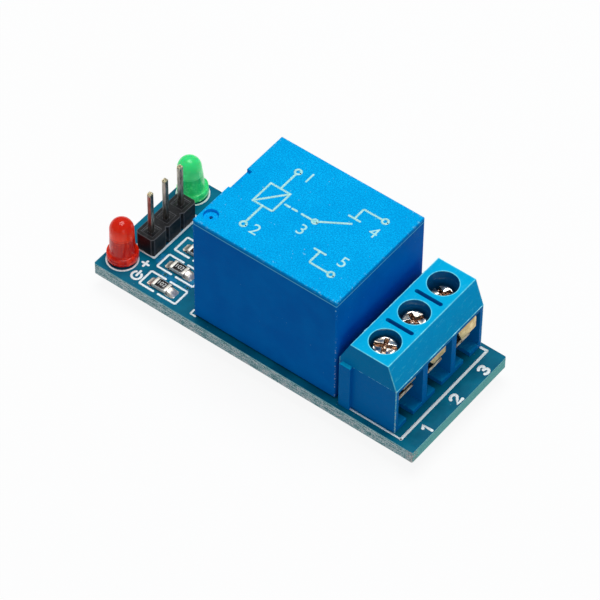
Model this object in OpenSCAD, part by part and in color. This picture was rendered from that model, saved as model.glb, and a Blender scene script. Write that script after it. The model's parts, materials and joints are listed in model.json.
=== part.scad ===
// Relay module board: a driver board with one sealed relay, a three-way screw
// terminal block, a three-pin header, two indicator lamps and a few chip parts.
// Millimetres, Z up. The origin is under the middle of the board, on the plane
// that the trimmed lead tips stand on. +X runs from the header to the terminals.

/* [Board] */
// Length of the board
board_l = 43.2; // [43:0.1:46]
// Width of the board
board_w = 16.8; // [16.8:0.1:20]
// Thickness of the board
board_t = 1.6; // [1:0.2:2]
// Radius of the board's corners
board_corner_r = 0.2; // [0.2:0.1:1]
// Length of the leads below the board
tail_l = 1.8; // [1.4:0.1:2.4]

/* [Relay] */
// Left face of the relay, along the board
relay_x = -8.3; // [-8.3:0.1:-8]
// Middle of the relay, across the board
relay_y = 0.1; // [0:0.05:0.3]
// Length of the relay
relay_l = 19; // [19:0.1:19.2]
// Width of the relay
relay_w = 15.25; // [15.2:0.05:15.5]
// Height of the relay above the board
relay_h = 15.3; // [15.2:0.1:15.8]
// Thickness of the cover's walls
cover_wall = 0.9; // [0.7:0.1:0.9]
// Radius of the cover's edges
cover_edge_r = 0.15; // [0.1:0.05:0.6]
// Angle between the released armature and the pole face, in degrees
armature_open = 3.2; // [2.6:0.2:3.2]

/* [Terminal block] */
// Distance between the poles
block_pitch = 5.08; // [5.08:0.01:5.1]
// Front face of the block, along the board
block_front_x = 18.5; // [18.4:0.1:19]
// Middle of the block, across the board
block_y = 0.33; // [0:0.01:0.4]
// Depth of the block from back to front
block_d = 7.4; // [7.4:0.1:7.6]
// Height of the block above the board
block_h = 9.9; // [9.9:0.1:10.2]
// Depth of the first screw's head below the top
screw_depth_1 = 0.7; // [0.3:0.05:2.5]
// Depth of the second screw's head below the top
screw_depth_2 = 1.2; // [0.3:0.05:2.5]
// Depth of the third screw's head below the top
screw_depth_3 = 1.75; // [0.3:0.05:2.5]

/* [Header] */
// Row of pins, along the board
header_x = -18.25; // [-18.4:0.05:-18]
// Distance between the pins
header_pitch = 2.54; // [2.5:0.01:2.54]
// Height of the pins above their plastic strip
header_pin_up = 5.95; // [5.5:0.05:6.2]

/* [Lamps] */
// Lamps' row, along the board
lamp_x = -19.65; // [-19.65:0.05:-19.5]
// Diameter of a lamp's body
lamp_d = 2.9; // [2.8:0.02:3]
// Height of a lamp above the board
lamp_h = 6; // [5.4:0.1:6.4]
// Lean of the green lamp towards the near edge, in degrees
green_lean = 7; // [0:0.5:7.5]

/* [Hidden] */
$fn = 48;
eps = 0.5; // how far a cutter runs past the face it cuts

// Heights of the board
board_bottom = tail_l;
board_top = board_bottom + board_t;
tail = board_t + tail_l; // from the board's top down to the lead tips

// ---------------------------------------------------------------- shapes

// Points of a circular arc from angle a to angle b
function arc(cx, cy, r, a, b, steps = 6) =
    [for (i = [0 : steps]) let (t = a + (b - a) * i / steps) [cx + r * cos(t), cy + r * sin(t)]];

// Rectangle with round corners, centred
module rounded_rect(w, d, r) {
    square([w, d - 2 * r], center = true);
    square([w - 2 * r, d], center = true);
    for (sx = [-1, 1], sy = [-1, 1])
        translate([sx * (w / 2 - r), sy * (d / 2 - r)]) circle(r);
}

// Rectangle with chamfered corners, centred
module chamfered_rect(w, d, c) {
    polygon([
        [-w / 2 + c, -d / 2], [w / 2 - c, -d / 2], [w / 2, -d / 2 + c], [w / 2, d / 2 - c],
        [w / 2 - c, d / 2], [-w / 2 + c, d / 2], [-w / 2, d / 2 - c], [-w / 2, -d / 2 + c]
    ]);
}

// Side view (X, Z) pulled along Y to a width, centred
module across(width) {
    rotate([90, 0, 0]) linear_extrude(width, center = true) children();
}

// Front view (Y, Z) pulled along X to a length, centred
module along(length) {
    rotate([90, 0, 90]) linear_extrude(length, center = true) children();
}

// Upright bar with pointed ends, from z0 to z1
module pointed_bar(w, d, z0, z1, c) {
    intersection() {
        translate([0, 0, (z0 + z1) / 2]) across(d) chamfered_rect(w, z1 - z0, c);
        translate([0, 0, (z0 + z1) / 2]) along(w) chamfered_rect(d, z1 - z0, c);
    }
}

// Upright bar centred on x, y, from z0 to z1
module bar(x, y, w, d, z0, z1) {
    translate([x - w / 2, y - d / 2, z0]) cube([w, d, z1 - z0]);
}

// ---------------------------------------------------------------- leads
// Every lead that passes through the board: [x, y, width along X, width along Y, hole radius]

relay_pin_t = 0.5;
relay_pin_w = 1;
coil_pin_w = 0.6;
relay_pins_y = 6;
common_pin_x = 1.95;
coil_pin_x = 4;
contact_pin_x = 16.2;
relay_hole_r = 0.65;
relay_leads = [
    [relay_x + common_pin_x, relay_y, relay_pin_t, relay_pin_w, relay_hole_r],
    [relay_x + contact_pin_x, relay_y - relay_pins_y, relay_pin_w, relay_pin_t, relay_hole_r],
    [relay_x + contact_pin_x, relay_y + relay_pins_y, relay_pin_w, relay_pin_t, relay_hole_r],
    for (s = [-1, 1])
        [relay_x + coil_pin_x, relay_y + s * relay_pins_y, coil_pin_w, coil_pin_w, 0.5]
];

poles = 3;
function pole_y(k) = block_y + (k - (poles - 1) / 2) * block_pitch;
block_back_x = block_front_x - block_d;
clamp_pin_x = 3.9; // from the block's back face
clamp_pin_w = 1;
clamp_pin_t = 0.8;
block_leads = [
    for (k = [0 : poles - 1])
        [block_back_x + clamp_pin_x, pole_y(k), clamp_pin_t, clamp_pin_w, 0.7]
];

header_pins = 3;
header_pin_w = 0.5;
function header_pin_y(k) = (k - (header_pins - 1) / 2) * header_pitch;
header_leads = [
    for (k = [0 : header_pins - 1])
        [header_x, header_pin_y(k), header_pin_w, header_pin_w, 0.5]
];

lamp_wire = 0.45;
lamp_wires_apart = 2.54;
lamp_ys = [-5.82, 6.45]; // red, green
lamp_leads = [
    for (y = lamp_ys, s = [-1, 1])
        [lamp_x, y - s * lamp_wires_apart / 2, lamp_wire, lamp_wire, 0.38]
];

leads = concat(relay_leads, block_leads, header_leads, lamp_leads);

// ---------------------------------------------------------------- board

via_r = 0.2;
vias = [[-14.4, -4.92], [-11.3, -4.92], [-10.4, 1.6], [-16.2, 2.4]];

module board() {
    color([0.05, 0.36, 0.46])
    translate([0, 0, board_bottom])
    difference() {
        linear_extrude(board_t) rounded_rect(board_l, board_w, board_corner_r);
        for (l = leads)
            translate([l[0], l[1], -eps]) cylinder(r = l[4], h = board_t + 2 * eps);
        for (v = vias)
            translate([v[0], v[1], -eps]) cylinder(r = via_r, h = board_t + 2 * eps);
    }
}

// Solder cone under one lead, hollow where the lead passes
solder_spread = 0.28; // how far the cone's foot reaches past the hole
solder_h = 1.1;

module solder_cone(lead) {
    foot_r = lead[4] + solder_spread;
    translate([lead[0], lead[1], board_bottom])
    difference() {
        rotate_extrude() polygon(concat(
            [[0, 0]],
            [for (t = [0 : 15 : 90])
                [foot_r - solder_spread * sin(t), -solder_h * (1 - cos(t))]],
            [[0, -solder_h]]
        ));
        bar(0, 0, lead[2], lead[3], -solder_h - eps, eps);
    }
}

module lead_solder() {
    color([0.75, 0.76, 0.78])
    for (l = leads) solder_cone(l);
}

// ---------------------------------------------------------------- relay
// Own frame: x from the cover's left face, y from its middle, z from the board

base_bottom = 0.45;
base_top = 1.9;
cover_bottom = 0.2;
vent_x = 1.15;
vent_y = -5.95;
vent_r = 0.85;
vent_depth = 0.4;
pinhole_r = 0.18;
gate_w = 0.7;
gate_l = 3.2;
gate_depth = 0.5;

yoke_t = 1.2;
yoke_w = 9;
yoke_outer_x = common_pin_x + relay_pin_t / 2;
yoke_top = 10.2;
yoke_reach_x = 12.2;
yoke_bend_r = 0.8;
limb_top = base_top + yoke_t;

coil_x = 8.5;
core_r = 2;
core_rivet_r = 1.5;
pole_r = 3.3;
pole_top = yoke_top - 0.05;
pole_t = 0.85;
bobbin_tube_r = 2.7;
bobbin_flange_t = 0.8;
bobbin_flange_l = 10;
bobbin_flange_w = 11.4;
bobbin_top = pole_top - pole_t;
coil_r = 4.6;
coil_edge_r = 4.45;

// The armature turns about the yoke's outer top edge
armature_t = 1;
armature_gap = 0.02;
armature_start_x = 0.1;
armature_l = 10.4;
armature_shoulder_x = 7;
armature_tip_w = 6;
blade_t = 0.25;
blade_w = 5;
blade_tip_w = 3;
blade_narrow_x = 10.6;
blade_end_x = 15;
blade_stand_off = 0.27;
blade_foot_z = -4.2;
blade_bend_r = 0.25;
blade_bottom = armature_gap + armature_t;
blade_top = blade_bottom + blade_t;
rivet_xs = [3, 7.6];
rivet_r = 0.6;
rivet_h = 0.35;

contact_x = 13.8;
contact_r = 1.1;
contact_t = 0.5;
contact_shank_r = 0.55;
contact_gap = 0.03; // left between closed contacts
strip_t = 0.5;
strip_w = 2.2;
strip_end_y = 1.3;
fixed_x = yoke_outer_x + contact_x;
open_contact_top = yoke_top + blade_bottom - contact_t - contact_gap;
released_top = (contact_x + contact_r) * sin(armature_open)
    + (blade_top + contact_t) * cos(armature_open);
closed_contact_bottom = yoke_top + released_top + contact_gap;

module in_relay() {
    translate([relay_x, relay_y, board_top]) children();
}

module cover_edge_view(length) {
    r = cover_edge_r;
    h = relay_h - cover_bottom;
    translate([-length / 2, cover_bottom]) square([length, h - r]);
    translate([-length / 2 + r, cover_bottom]) square([length - 2 * r, h]);
    for (s = [-1, 1]) translate([s * (length / 2 - r), relay_h - r]) circle(r);
}

module relay_cover() {
    inner_l = relay_l - 2 * cover_wall;
    inner_w = relay_w - 2 * cover_wall;
    color([0, 0.5, 0.86])
    in_relay()
    difference() {
        intersection() {
            translate([relay_l / 2, 0, 0])
                linear_extrude(relay_h) rounded_rect(relay_l, relay_w, cover_edge_r);
            translate([relay_l / 2, 0, 0]) across(relay_w + eps) cover_edge_view(relay_l);
            translate([relay_l / 2, 0, 0]) along(relay_l + eps) cover_edge_view(relay_w);
        }
        translate([cover_wall, -inner_w / 2, -eps])
            cube([inner_l, inner_w, relay_h - cover_wall + eps]);
        translate([vent_x, vent_y, relay_h - vent_depth]) cylinder(r = vent_r, h = vent_depth + eps);
        translate([vent_x, vent_y, relay_h - cover_wall - eps])
            cylinder(r = pinhole_r, h = cover_wall + 2 * eps);
        translate([-eps, -gate_l / 2, relay_h - gate_depth])
            cube([gate_w + eps, gate_l, gate_depth + eps]);
    }
}

module relay_base() {
    foot_r = 0.6;
    feet = [[2.1, 4.4], [17, 3]];
    color([0.1, 0.1, 0.11])
    in_relay()
    difference() {
        union() {
            bar(relay_l / 2, 0, relay_l - 2 * cover_wall, relay_w - 2 * cover_wall,
                base_bottom, base_top);
            for (f = feet, s = [-1, 1])
                translate([f[0], s * f[1], 0]) cylinder(r = foot_r, h = base_top);
        }
        for (l = relay_leads)
            bar(l[0] - relay_x, l[1] - relay_y, l[2], l[3], -eps, base_top + eps);
    }
}

// One of the two tinned pins at the coil's ends, side s
module relay_coil_pin(s) {
    pin_top = 5.6;
    color([0.8, 0.78, 0.72])
    in_relay() bar(coil_pin_x, s * relay_pins_y, coil_pin_w, coil_pin_w, -tail, pin_top);
}

module relay_bobbin() {
    lug_l = 1.8;
    lug_w = 1.7;
    lug_top = 4.9;
    color([0.15, 0.15, 0.16])
    in_relay()
    difference() {
        union() {
            translate([coil_x, 0, limb_top]) linear_extrude(bobbin_flange_t)
                rounded_rect(bobbin_flange_l, bobbin_flange_w, 1);
            translate([coil_x, 0, bobbin_top - bobbin_flange_t]) linear_extrude(bobbin_flange_t)
                rounded_rect(bobbin_flange_l, bobbin_flange_l, 2);
            translate([coil_x, 0, limb_top]) cylinder(r = bobbin_tube_r, h = bobbin_top - limb_top);
            for (s = [-1, 1])
                bar(coil_pin_x, s * (relay_pins_y - 0.15), lug_l, lug_w, limb_top, lug_top);
        }
        translate([coil_x, 0, limb_top - eps])
            cylinder(r = core_r, h = bobbin_top - limb_top + 2 * eps);
        for (s = [-1, 1])
            bar(coil_pin_x, s * relay_pins_y, coil_pin_w, coil_pin_w, 0, lug_top + eps);
    }
}

// Winding, a little fuller in the middle
module relay_coil() {
    z0 = limb_top + bobbin_flange_t;
    z1 = bobbin_top - bobbin_flange_t;
    color([0.72, 0.36, 0.16])
    in_relay() translate([coil_x, 0, 0]) rotate_extrude() polygon([
        [bobbin_tube_r, z0], [coil_edge_r, z0], [coil_r, (2 * z0 + z1) / 3],
        [coil_r, (z0 + 2 * z1) / 3], [coil_edge_r, z1], [bobbin_tube_r, z1]
    ]);
}

module relay_core() {
    color([0.6, 0.6, 0.62])
    in_relay() translate([coil_x, 0, 0]) rotate_extrude() polygon([
        [0, base_top], [core_rivet_r, base_top], [core_rivet_r, limb_top], [core_r, limb_top],
        [core_r, bobbin_top], [pole_r, bobbin_top], [pole_r, pole_top], [0, pole_top]
    ]);
}

module relay_yoke() {
    outer = yoke_outer_x;
    color([0.62, 0.62, 0.64])
    in_relay()
    difference() {
        across(yoke_w) polygon(concat(
            arc(outer + yoke_bend_r, base_top + yoke_bend_r, yoke_bend_r, 180, 270),
            [[yoke_reach_x, base_top], [yoke_reach_x, limb_top], [outer + yoke_t, limb_top],
             [outer + yoke_t, yoke_top], [outer, yoke_top]]
        ));
        translate([coil_x, 0, base_top - eps]) cylinder(r = core_rivet_r, h = yoke_t + 2 * eps);
    }
}

// Moves what follows into the hinge's frame, lifted to the released position
module on_hinge() {
    in_relay() translate([yoke_outer_x, 0, yoke_top]) rotate([0, -armature_open, 0]) children();
}

module relay_armature() {
    color([0.66, 0.66, 0.68])
    on_hinge() {
        translate([0, 0, armature_gap]) linear_extrude(armature_t) polygon([
            [armature_start_x, -yoke_w / 2], [armature_shoulder_x, -yoke_w / 2],
            [armature_l, -armature_tip_w / 2], [armature_l, armature_tip_w / 2],
            [armature_shoulder_x, yoke_w / 2], [armature_start_x, yoke_w / 2]
        ]);
        for (x = rivet_xs)
            translate([x, 0, blade_bottom - armature_t / 2])
                cylinder(r = rivet_r, h = armature_t / 2 + blade_t + rivet_h);
    }
}

// Contact spring: one strip, riveted to the armature and bent down behind the yoke
module relay_blade() {
    outer_x = -blade_stand_off - blade_t;
    bend_x = -blade_stand_off + blade_bend_r;
    bend_z = blade_bottom - blade_bend_r;
    color([0.85, 0.6, 0.3])
    on_hinge()
    difference() {
        across(blade_w) polygon(concat(
            [[outer_x, blade_foot_z], [-blade_stand_off, blade_foot_z]],
            arc(bend_x, bend_z, blade_bend_r, 180, 90),
            [[blade_end_x, blade_bottom], [blade_end_x, blade_top]],
            arc(bend_x, bend_z, blade_bend_r + blade_t, 90, 180)
        ));
        for (s = [-1, 1])
            translate([blade_narrow_x, s * (blade_tip_w + blade_w) / 2 - blade_w / 2, 0])
                cube([blade_end_x, blade_w, 2 * blade_top]);
        for (x = rivet_xs)
            translate([x, 0, 0]) cylinder(r = rivet_r, h = 2 * blade_top);
        translate([contact_x, 0, 0]) cylinder(r = contact_shank_r, h = 2 * blade_top);
    }
}

// Rivet with a contact face on both sides of the blade
module relay_moving_contact() {
    edge = 0.15;
    low = blade_bottom - contact_t;
    high = blade_top + contact_t;
    color([0.86, 0.86, 0.84])
    on_hinge() translate([contact_x, 0, 0]) rotate_extrude() polygon([
        [0, low], [contact_r - edge, low], [contact_r, low + edge], [contact_r, blade_bottom],
        [contact_shank_r, blade_bottom], [contact_shank_r, blade_top], [contact_r, blade_top],
        [contact_r, high - edge], [contact_r - edge, high], [0, high]
    ]);
}

// Fixed terminal: a pin, an upright strip at side s and an arm bent in to the middle
module fixed_terminal(s, arm_bottom) {
    wall_y = relay_pins_y + strip_t / 2;
    arm_top = arm_bottom + strip_t;
    bend = strip_t;
    in_relay()
    difference() {
        union() {
            translate([fixed_x, 0, 0]) along(strip_w) polygon([
                [s * wall_y, base_top], [s * (wall_y - strip_t), base_top],
                [s * (wall_y - strip_t), arm_bottom], [-s * strip_end_y, arm_bottom],
                [-s * strip_end_y, arm_top], [s * (wall_y - bend), arm_top],
                [s * wall_y, arm_top - bend]
            ]);
            bar(contact_pin_x, s * relay_pins_y, relay_pin_w, relay_pin_t, -tail, base_top + eps);
        }
        translate([fixed_x, 0, arm_bottom - eps])
            cylinder(r = contact_shank_r, h = strip_t + 2 * eps);
    }
}

// Contact rivet in a fixed terminal, with its face at face_z and its head on the other side
module fixed_contact(face_z, up) {
    head_t = 0.2;
    color([0.86, 0.86, 0.84])
    in_relay() translate([fixed_x, 0, face_z]) mirror([0, 0, up ? 1 : 0]) rotate_extrude() polygon([
        [0, 0], [contact_r - 0.15, 0], [contact_r, 0.15], [contact_r, contact_t],
        [contact_shank_r, contact_t], [contact_shank_r, contact_t + strip_t],
        [contact_r - 0.2, contact_t + strip_t], [contact_r - 0.2, contact_t + strip_t + head_t],
        [0, contact_t + strip_t + head_t]
    ]);
}

module relay_open_terminal() {
    color([0.82, 0.66, 0.4]) fixed_terminal(-1, open_contact_top - contact_t - strip_t);
}

module relay_open_contact() {
    fixed_contact(open_contact_top, true);
}

module relay_closed_terminal() {
    color([0.82, 0.66, 0.4]) fixed_terminal(1, closed_contact_bottom + contact_t);
}

module relay_closed_contact() {
    fixed_contact(closed_contact_bottom, false);
}

// Common terminal, a pin with a plate against the back of the yoke
module relay_common_terminal() {
    plate_w = 3.2;
    plate_top = 5.4;
    color([0.82, 0.66, 0.4])
    in_relay() {
        bar(common_pin_x, 0, relay_pin_t, relay_pin_w, -tail, base_top + eps);
        bar(common_pin_x, 0, relay_pin_t, plate_w, base_top, plate_top);
    }
}

// ---------------------------------------------------------------- terminal block
// Own frame: x from the block's back face, y from its middle, z from the board

block_w = poles * block_pitch + 0.16;
roof_front_x = block_d - 1.15;
roof_back_x = 1.36;
roof_front_z = 6.6;
roof_back_z = 7.0;
pocket_w = 4.24;
pocket_back_x = 2.1;
bay_back_x = 0.8; // narrower bay that holds the clamp, behind the pocket
bay_play = 0.05;
floor_t = 0.6;
pocket_top = 6.1;
notch_w = 1.2;
notch_back_x = 2.2;
well_x = 3.9;
well_r = 1.74;
slot_w = 0.5;
slot_depth = 1.2;
slot_from_x = 2.35;
slot_to_x = 5.4;
rib_x0 = 0.3;
rib_x1 = 1.75;
rib_flare = 0.12;
rib_out = 0.48;
rib_top = roof_front_z;
rib_play = 0.06;

clamp_w = 3.2;
clamp_t = 0.75;
clamp_back_x = 1.1;
clamp_top = 5.9;
clamp_foot_x = 5;
lip_t = 0.4;
lip_ws = [2.6, 2.8, 3.1];
lip_insets = [0.35, 0.25, 0.1]; // of each lip behind the block's front face
lip_drops = [0.85, 1.3, 1.85]; // of each lip's edge below the clamp's top
lip_slant = 0.65; // how much shorter a lip is at its edge than at its fold

screw_r = 1.25;
screw_play = 0.05;
screw_l = 5.6;
head_r = 1.36;
head_h = 1.25;
head_edge = 0.2;
drive_w = 0.5;
cross_l = 2.1;
cross_depth = 0.9;
slot_cut_depth = 0.6;
screw_depths = [screw_depth_1, screw_depth_2, screw_depth_3];
drive_turns = [24, 62, -25]; // how each screw's recess is turned, in degrees

leaf_w = 2.8;
leaf_t = 0.3;
leaf_play = 0.02;
leaf_back_x = 2.3;
leaf_flat_x = 6;
leaf_lip_x = 6.6;
leaf_lip_z = 0.3;

module in_block() {
    translate([block_back_x, block_y, board_top]) children();
}

module at_pole(k) {
    in_block() translate([0, pole_y(k) - block_y, 0]) children();
}

// Dovetail outline that joins blocks side by side, grown by play
module dovetail(play) {
    polygon([
        [rib_x0 + rib_flare - play, eps], [rib_x1 - rib_flare + play, eps],
        [rib_x1 - rib_flare + play, 0], [rib_x1 + play, -rib_out - play],
        [rib_x0 - play, -rib_out - play], [rib_x0 + rib_flare - play, 0]
    ]);
}

module block_housing() {
    side = block_w / 2;
    color([0, 0.53, 0.84])
    union() {
        in_block()
        difference() {
            across(block_w) polygon([
                [0, 0], [block_d, 0], [block_d, roof_front_z], [roof_front_x, block_h],
                [roof_back_x, block_h], [0, roof_back_z]
            ]);
            for (k = [0 : poles - 1]) translate([0, pole_y(k) - block_y, 0]) {
                translate([pocket_back_x, -pocket_w / 2, floor_t])
                    cube([block_d, pocket_w, pocket_top - floor_t]);
                translate([bay_back_x, -clamp_w / 2 - bay_play, floor_t])
                    cube([block_d, clamp_w + 2 * bay_play, pocket_top - floor_t]);
                translate([notch_back_x, -notch_w / 2, -eps]) cube([block_d, notch_w, 2 * eps + floor_t]);
                translate([well_x, 0, floor_t]) cylinder(r = well_r, h = block_h);
            }
            for (k = [0 : poles - 2])
                translate([0, (pole_y(k) + pole_y(k + 1)) / 2 - block_y, block_h - slot_depth])
                    linear_extrude(slot_depth + eps) {
                        for (x = [slot_from_x, slot_to_x]) translate([x, 0]) circle(slot_w / 2);
                        translate([slot_from_x, -slot_w / 2])
                            square([slot_to_x - slot_from_x, slot_w]);
                    }
            translate([0, side, -eps]) linear_extrude(rib_top + eps + rib_play) dovetail(rib_play);
        }
        in_block() translate([0, -side, 0]) linear_extrude(rib_top) dovetail(0);
    }
}

// Front lip of a clamp, folded down from its roof, with one slanted end
module clamp_lip(k) {
    back = block_d - lip_insets[k] - lip_t;
    edge = clamp_top - lip_drops[k];
    side = lip_ws[k] / 2;
    intersection() {
        across(2 * side) polygon(concat(
            [[back, edge], [back + lip_t, edge]],
            [for (t = [0 : 22.5 : 90])
                [back + lip_t * cos(t), clamp_top - lip_t + lip_t * sin(t)]]
        ));
        translate([back, 0, 0]) along(2 * lip_t + eps) polygon([
            [lip_slant - side, edge], [side, edge], [side, clamp_top], [-side, clamp_top],
            [-side, clamp_top - lip_t]
        ]);
    }
}

// Folded strip: threaded roof with a front lip, back wall, foot and pin
module block_clamp(k) {
    foot_top = floor_t + clamp_t;
    inner_x = clamp_back_x + clamp_t;
    roof_x = block_d - lip_insets[k] - lip_t;
    color([0.78, 0.68, 0.42])
    at_pole(k)
    difference() {
        union() {
            across(clamp_w) polygon([
                [clamp_back_x, floor_t], [clamp_foot_x, floor_t], [clamp_foot_x, foot_top],
                [inner_x, foot_top], [inner_x, clamp_top - clamp_t],
                [roof_x, clamp_top - clamp_t], [roof_x, clamp_top], [clamp_back_x, clamp_top]
            ]);
            clamp_lip(k);
            bar(clamp_pin_x, 0, clamp_pin_t, clamp_pin_w, -tail, foot_top);
        }
        translate([well_x, 0, foot_top + eps]) cylinder(r = screw_r + screw_play, h = clamp_top);
    }
}

function tip_z(k) = block_h - screw_depths[k] - screw_l;

// Pressure leaf under the screw's tip, turned up at the front so a wire slides under it
module block_leaf(k) {
    top = tip_z(k) - leaf_play;
    color([0.8, 0.8, 0.78])
    at_pole(k) translate([0, 0, top]) across(leaf_w) polygon([
        [leaf_back_x, -leaf_t], [leaf_flat_x + leaf_t / 2, -leaf_t],
        [leaf_lip_x + leaf_t / 2, leaf_lip_z - leaf_t], [leaf_lip_x, leaf_lip_z],
        [leaf_lip_x - leaf_t / 2, leaf_lip_z - leaf_t / 2], [leaf_flat_x, 0], [leaf_back_x, 0]
    ]);
}

// Pan-edged screw with a combined slot and cross
module block_screw(k) {
    head_top = screw_l;
    tip_edge = 0.35;
    color([0.78, 0.77, 0.74])
    at_pole(k) translate([well_x, 0, tip_z(k)]) rotate(drive_turns[k])
    difference() {
        rotate_extrude() polygon(concat(
            [[0, 0], [screw_r - tip_edge, 0], [screw_r, tip_edge], [screw_r, head_top - head_h],
             [head_r, head_top - head_h]],
            arc(head_r - head_edge, head_top - head_edge, head_edge, 0, 90),
            [[0, head_top]]
        ));
        translate([-2 * head_r, -drive_w / 2, head_top - slot_cut_depth])
            cube([4 * head_r, drive_w, slot_cut_depth + eps]);
        for (turn = [0, 90]) rotate(turn)
            translate([-cross_l / 2, -drive_w / 2, head_top - cross_depth])
                cube([cross_l, drive_w, cross_depth + eps]);
    }
}

// ---------------------------------------------------------------- header

header_strip_d = 2.5;
header_strip_h = 2.54;
header_corner = 0.3;
seat_w = 1.5;
seat_depth = 0.2;
header_below = 3.05;

module header_strip() {
    color([0.1, 0.1, 0.11])
    translate([header_x, 0, board_top])
    difference() {
        for (k = [0 : header_pins - 1])
            translate([0, header_pin_y(k), 0]) linear_extrude(header_strip_h)
                chamfered_rect(header_strip_d, header_pitch, header_corner);
        for (k = [0 : header_pins - 1]) {
            bar(0, header_pin_y(k), header_pin_w, header_pin_w, -eps, header_strip_h + eps);
            bar(0, header_pin_y(k), seat_w, seat_w, header_strip_h - seat_depth,
                header_strip_h + eps);
        }
    }
}

module header_pin(k) {
    tip = 0.12;
    color([0.62, 0.6, 0.55])
    translate([header_x, header_pin_y(k), board_top])
        pointed_bar(header_pin_w, header_pin_w, -header_below, header_strip_h + header_pin_up, tip);
}

// ---------------------------------------------------------------- lamps
// Own frame: x along the two legs, z from the board

lamp_r = lamp_d / 2;
lamp_stand = 0.25;
rim_r = 1.78;
rim_t = 1;
rim_flat = 1.6;
lamp_taper = 0.08;
lamp_tail = 3.1;
leg_joint = 0.1; // overlap where a leg meets the lead frame
frame_t = 0.4;
post_top = 3.5;
anvil_top = 3.7;

// Places a lamp with its anode on the -Y side, leaning that way by the angle in degrees
module at_lamp(k, lean) {
    translate([lamp_x, lamp_ys[k], board_top]) rotate([lean, 0, 0]) rotate(-90) children();
}

// Lead frame inside the lens, side s: 1 is the anode's post, -1 the cathode's cup
module lamp_frame(s) {
    leg_x = s * lamp_wires_apart / 2;
    in_x = leg_x - s * lamp_wire / 2;
    out_x = leg_x + s * lamp_wire / 2;
    bar(leg_x, 0, lamp_wire, lamp_wire, -leg_joint, 0.8);
    if (s > 0)
        across(frame_t) polygon([
            [out_x, 0.6], [out_x, 0.9], [1.2, 1.25], [1.2, post_top], [0.75, post_top],
            [0.6, 2.9], [0.8, 2.3], [0.8, 1.2], [in_x, 0.6]
        ]);
    else
        difference() {
            across(frame_t * 2) polygon([
                [out_x, 0.6], [in_x, 0.6], [-0.8, 1.2], [-0.6, 1.9], [0.15, 2.8],
                [0.35, anvil_top], [-0.95, anvil_top], [-1.1, 2.8], [-1.2, 1.25], [out_x, 0.9]
            ]);
            translate([-0.3, 0, anvil_top - 0.25]) cylinder(r1 = 0.15, r2 = 0.35, h = 0.3);
        }
}

module lamp_lens(k, lean) {
    dome_z = lamp_h - (lamp_r - lamp_taper);
    at_lamp(k, lean)
    difference() {
        rotate_extrude() polygon(concat(
            [[0, lamp_stand], [rim_r, lamp_stand], [rim_r, lamp_stand + rim_t],
             [lamp_r, lamp_stand + rim_t]],
            [for (t = [0 : 7.5 : 90])
                [(lamp_r - lamp_taper) * cos(t), dome_z + (lamp_r - lamp_taper) * sin(t)]]
        ));
        translate([-rim_flat - 1, -rim_r - eps, 0]) cube([1, 2 * (rim_r + eps), lamp_stand + rim_t]);
        for (s = [-1, 1]) lamp_frame(s);
    }
}

module lamp_lead(k, lean, s) {
    raised = -s * lamp_wires_apart / 2 * sin(lean); // by the lean, where the leg starts
    color([0.72, 0.72, 0.7]) {
        at_lamp(k, lean) lamp_frame(s);
        bar(lamp_x, lamp_ys[k] - s * lamp_wires_apart / 2, lamp_wire, lamp_wire,
            board_top - lamp_tail, board_top + raised + leg_joint);
    }
}

// ---------------------------------------------------------------- chip parts

chip_l = 2;
chip_w = 1.25;
chip_h = 0.5;
chip_end = 0.4;
chip_lift = 0.05; // solder under the parts
resistor_x = -13.55;
resistor_ys = [-6.6, -3.52, -0.44];

transistor_x = -13.9;
transistor_y = 3;
transistor_l = 2.9;
transistor_w = 1.3;
transistor_h = 1;

diode_x = -12.9;
diode_y = 6.1;
diode_l = 3.5;
diode_r = 0.72;
diode_end = 0.45;

module at_chip(x, y) {
    translate([x, y, board_top + chip_lift]) children();
}

module resistor(k) {
    color([0.12, 0.12, 0.12])
    at_chip(resistor_x, resistor_ys[k])
        bar(0, 0, chip_l - 2 * chip_end, chip_w - 0.04, 0, chip_h - 0.02);
}

module resistor_ends(k) {
    color([0.8, 0.8, 0.82])
    at_chip(resistor_x, resistor_ys[k])
        for (s = [-1, 1])
            bar(s * (chip_l - chip_end) / 2, 0, chip_end, chip_w, 0, chip_h);
}

module transistor_body() {
    slope = 0.1;
    mid = transistor_h * 0.45;
    color([0.11, 0.11, 0.12])
    at_chip(transistor_x, transistor_y)
    intersection() {
        across(transistor_w + eps) polygon([
            [-transistor_l / 2 + slope, 0.1], [transistor_l / 2 - slope, 0.1],
            [transistor_l / 2, mid], [transistor_l / 2 - slope, transistor_h],
            [-transistor_l / 2 + slope, transistor_h], [-transistor_l / 2, mid]
        ]);
        along(transistor_l + eps) polygon([
            [-transistor_w / 2 + slope, 0.1], [transistor_w / 2 - slope, 0.1],
            [transistor_w / 2, mid], [transistor_w / 2 - slope, transistor_h],
            [-transistor_w / 2 + slope, transistor_h], [-transistor_w / 2, mid]
        ]);
    }
}

// Three gull-wing leads: two on the near side and one on the far side
module transistor_leads() {
    lead_w = 0.4;
    lead_t = 0.12;
    knee = transistor_w / 2;
    mid = transistor_h * 0.45;
    color([0.8, 0.8, 0.82])
    at_chip(transistor_x, transistor_y)
    for (lead = [[-0.95, -1], [0.95, -1], [0, 1]])
        translate([lead[0], 0, 0]) along(lead_w) polygon([
            for (p = [
                [knee, mid - lead_t / 2], [knee + 0.12, mid - lead_t / 2], [knee + 0.25, 0],
                [knee + 0.6, 0], [knee + 0.6, lead_t], [knee + 0.33, lead_t],
                [knee + 0.2, mid + lead_t / 2], [knee, mid + lead_t / 2]
            ]) [lead[1] * p[0], p[1]]
        ]);
}

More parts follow.
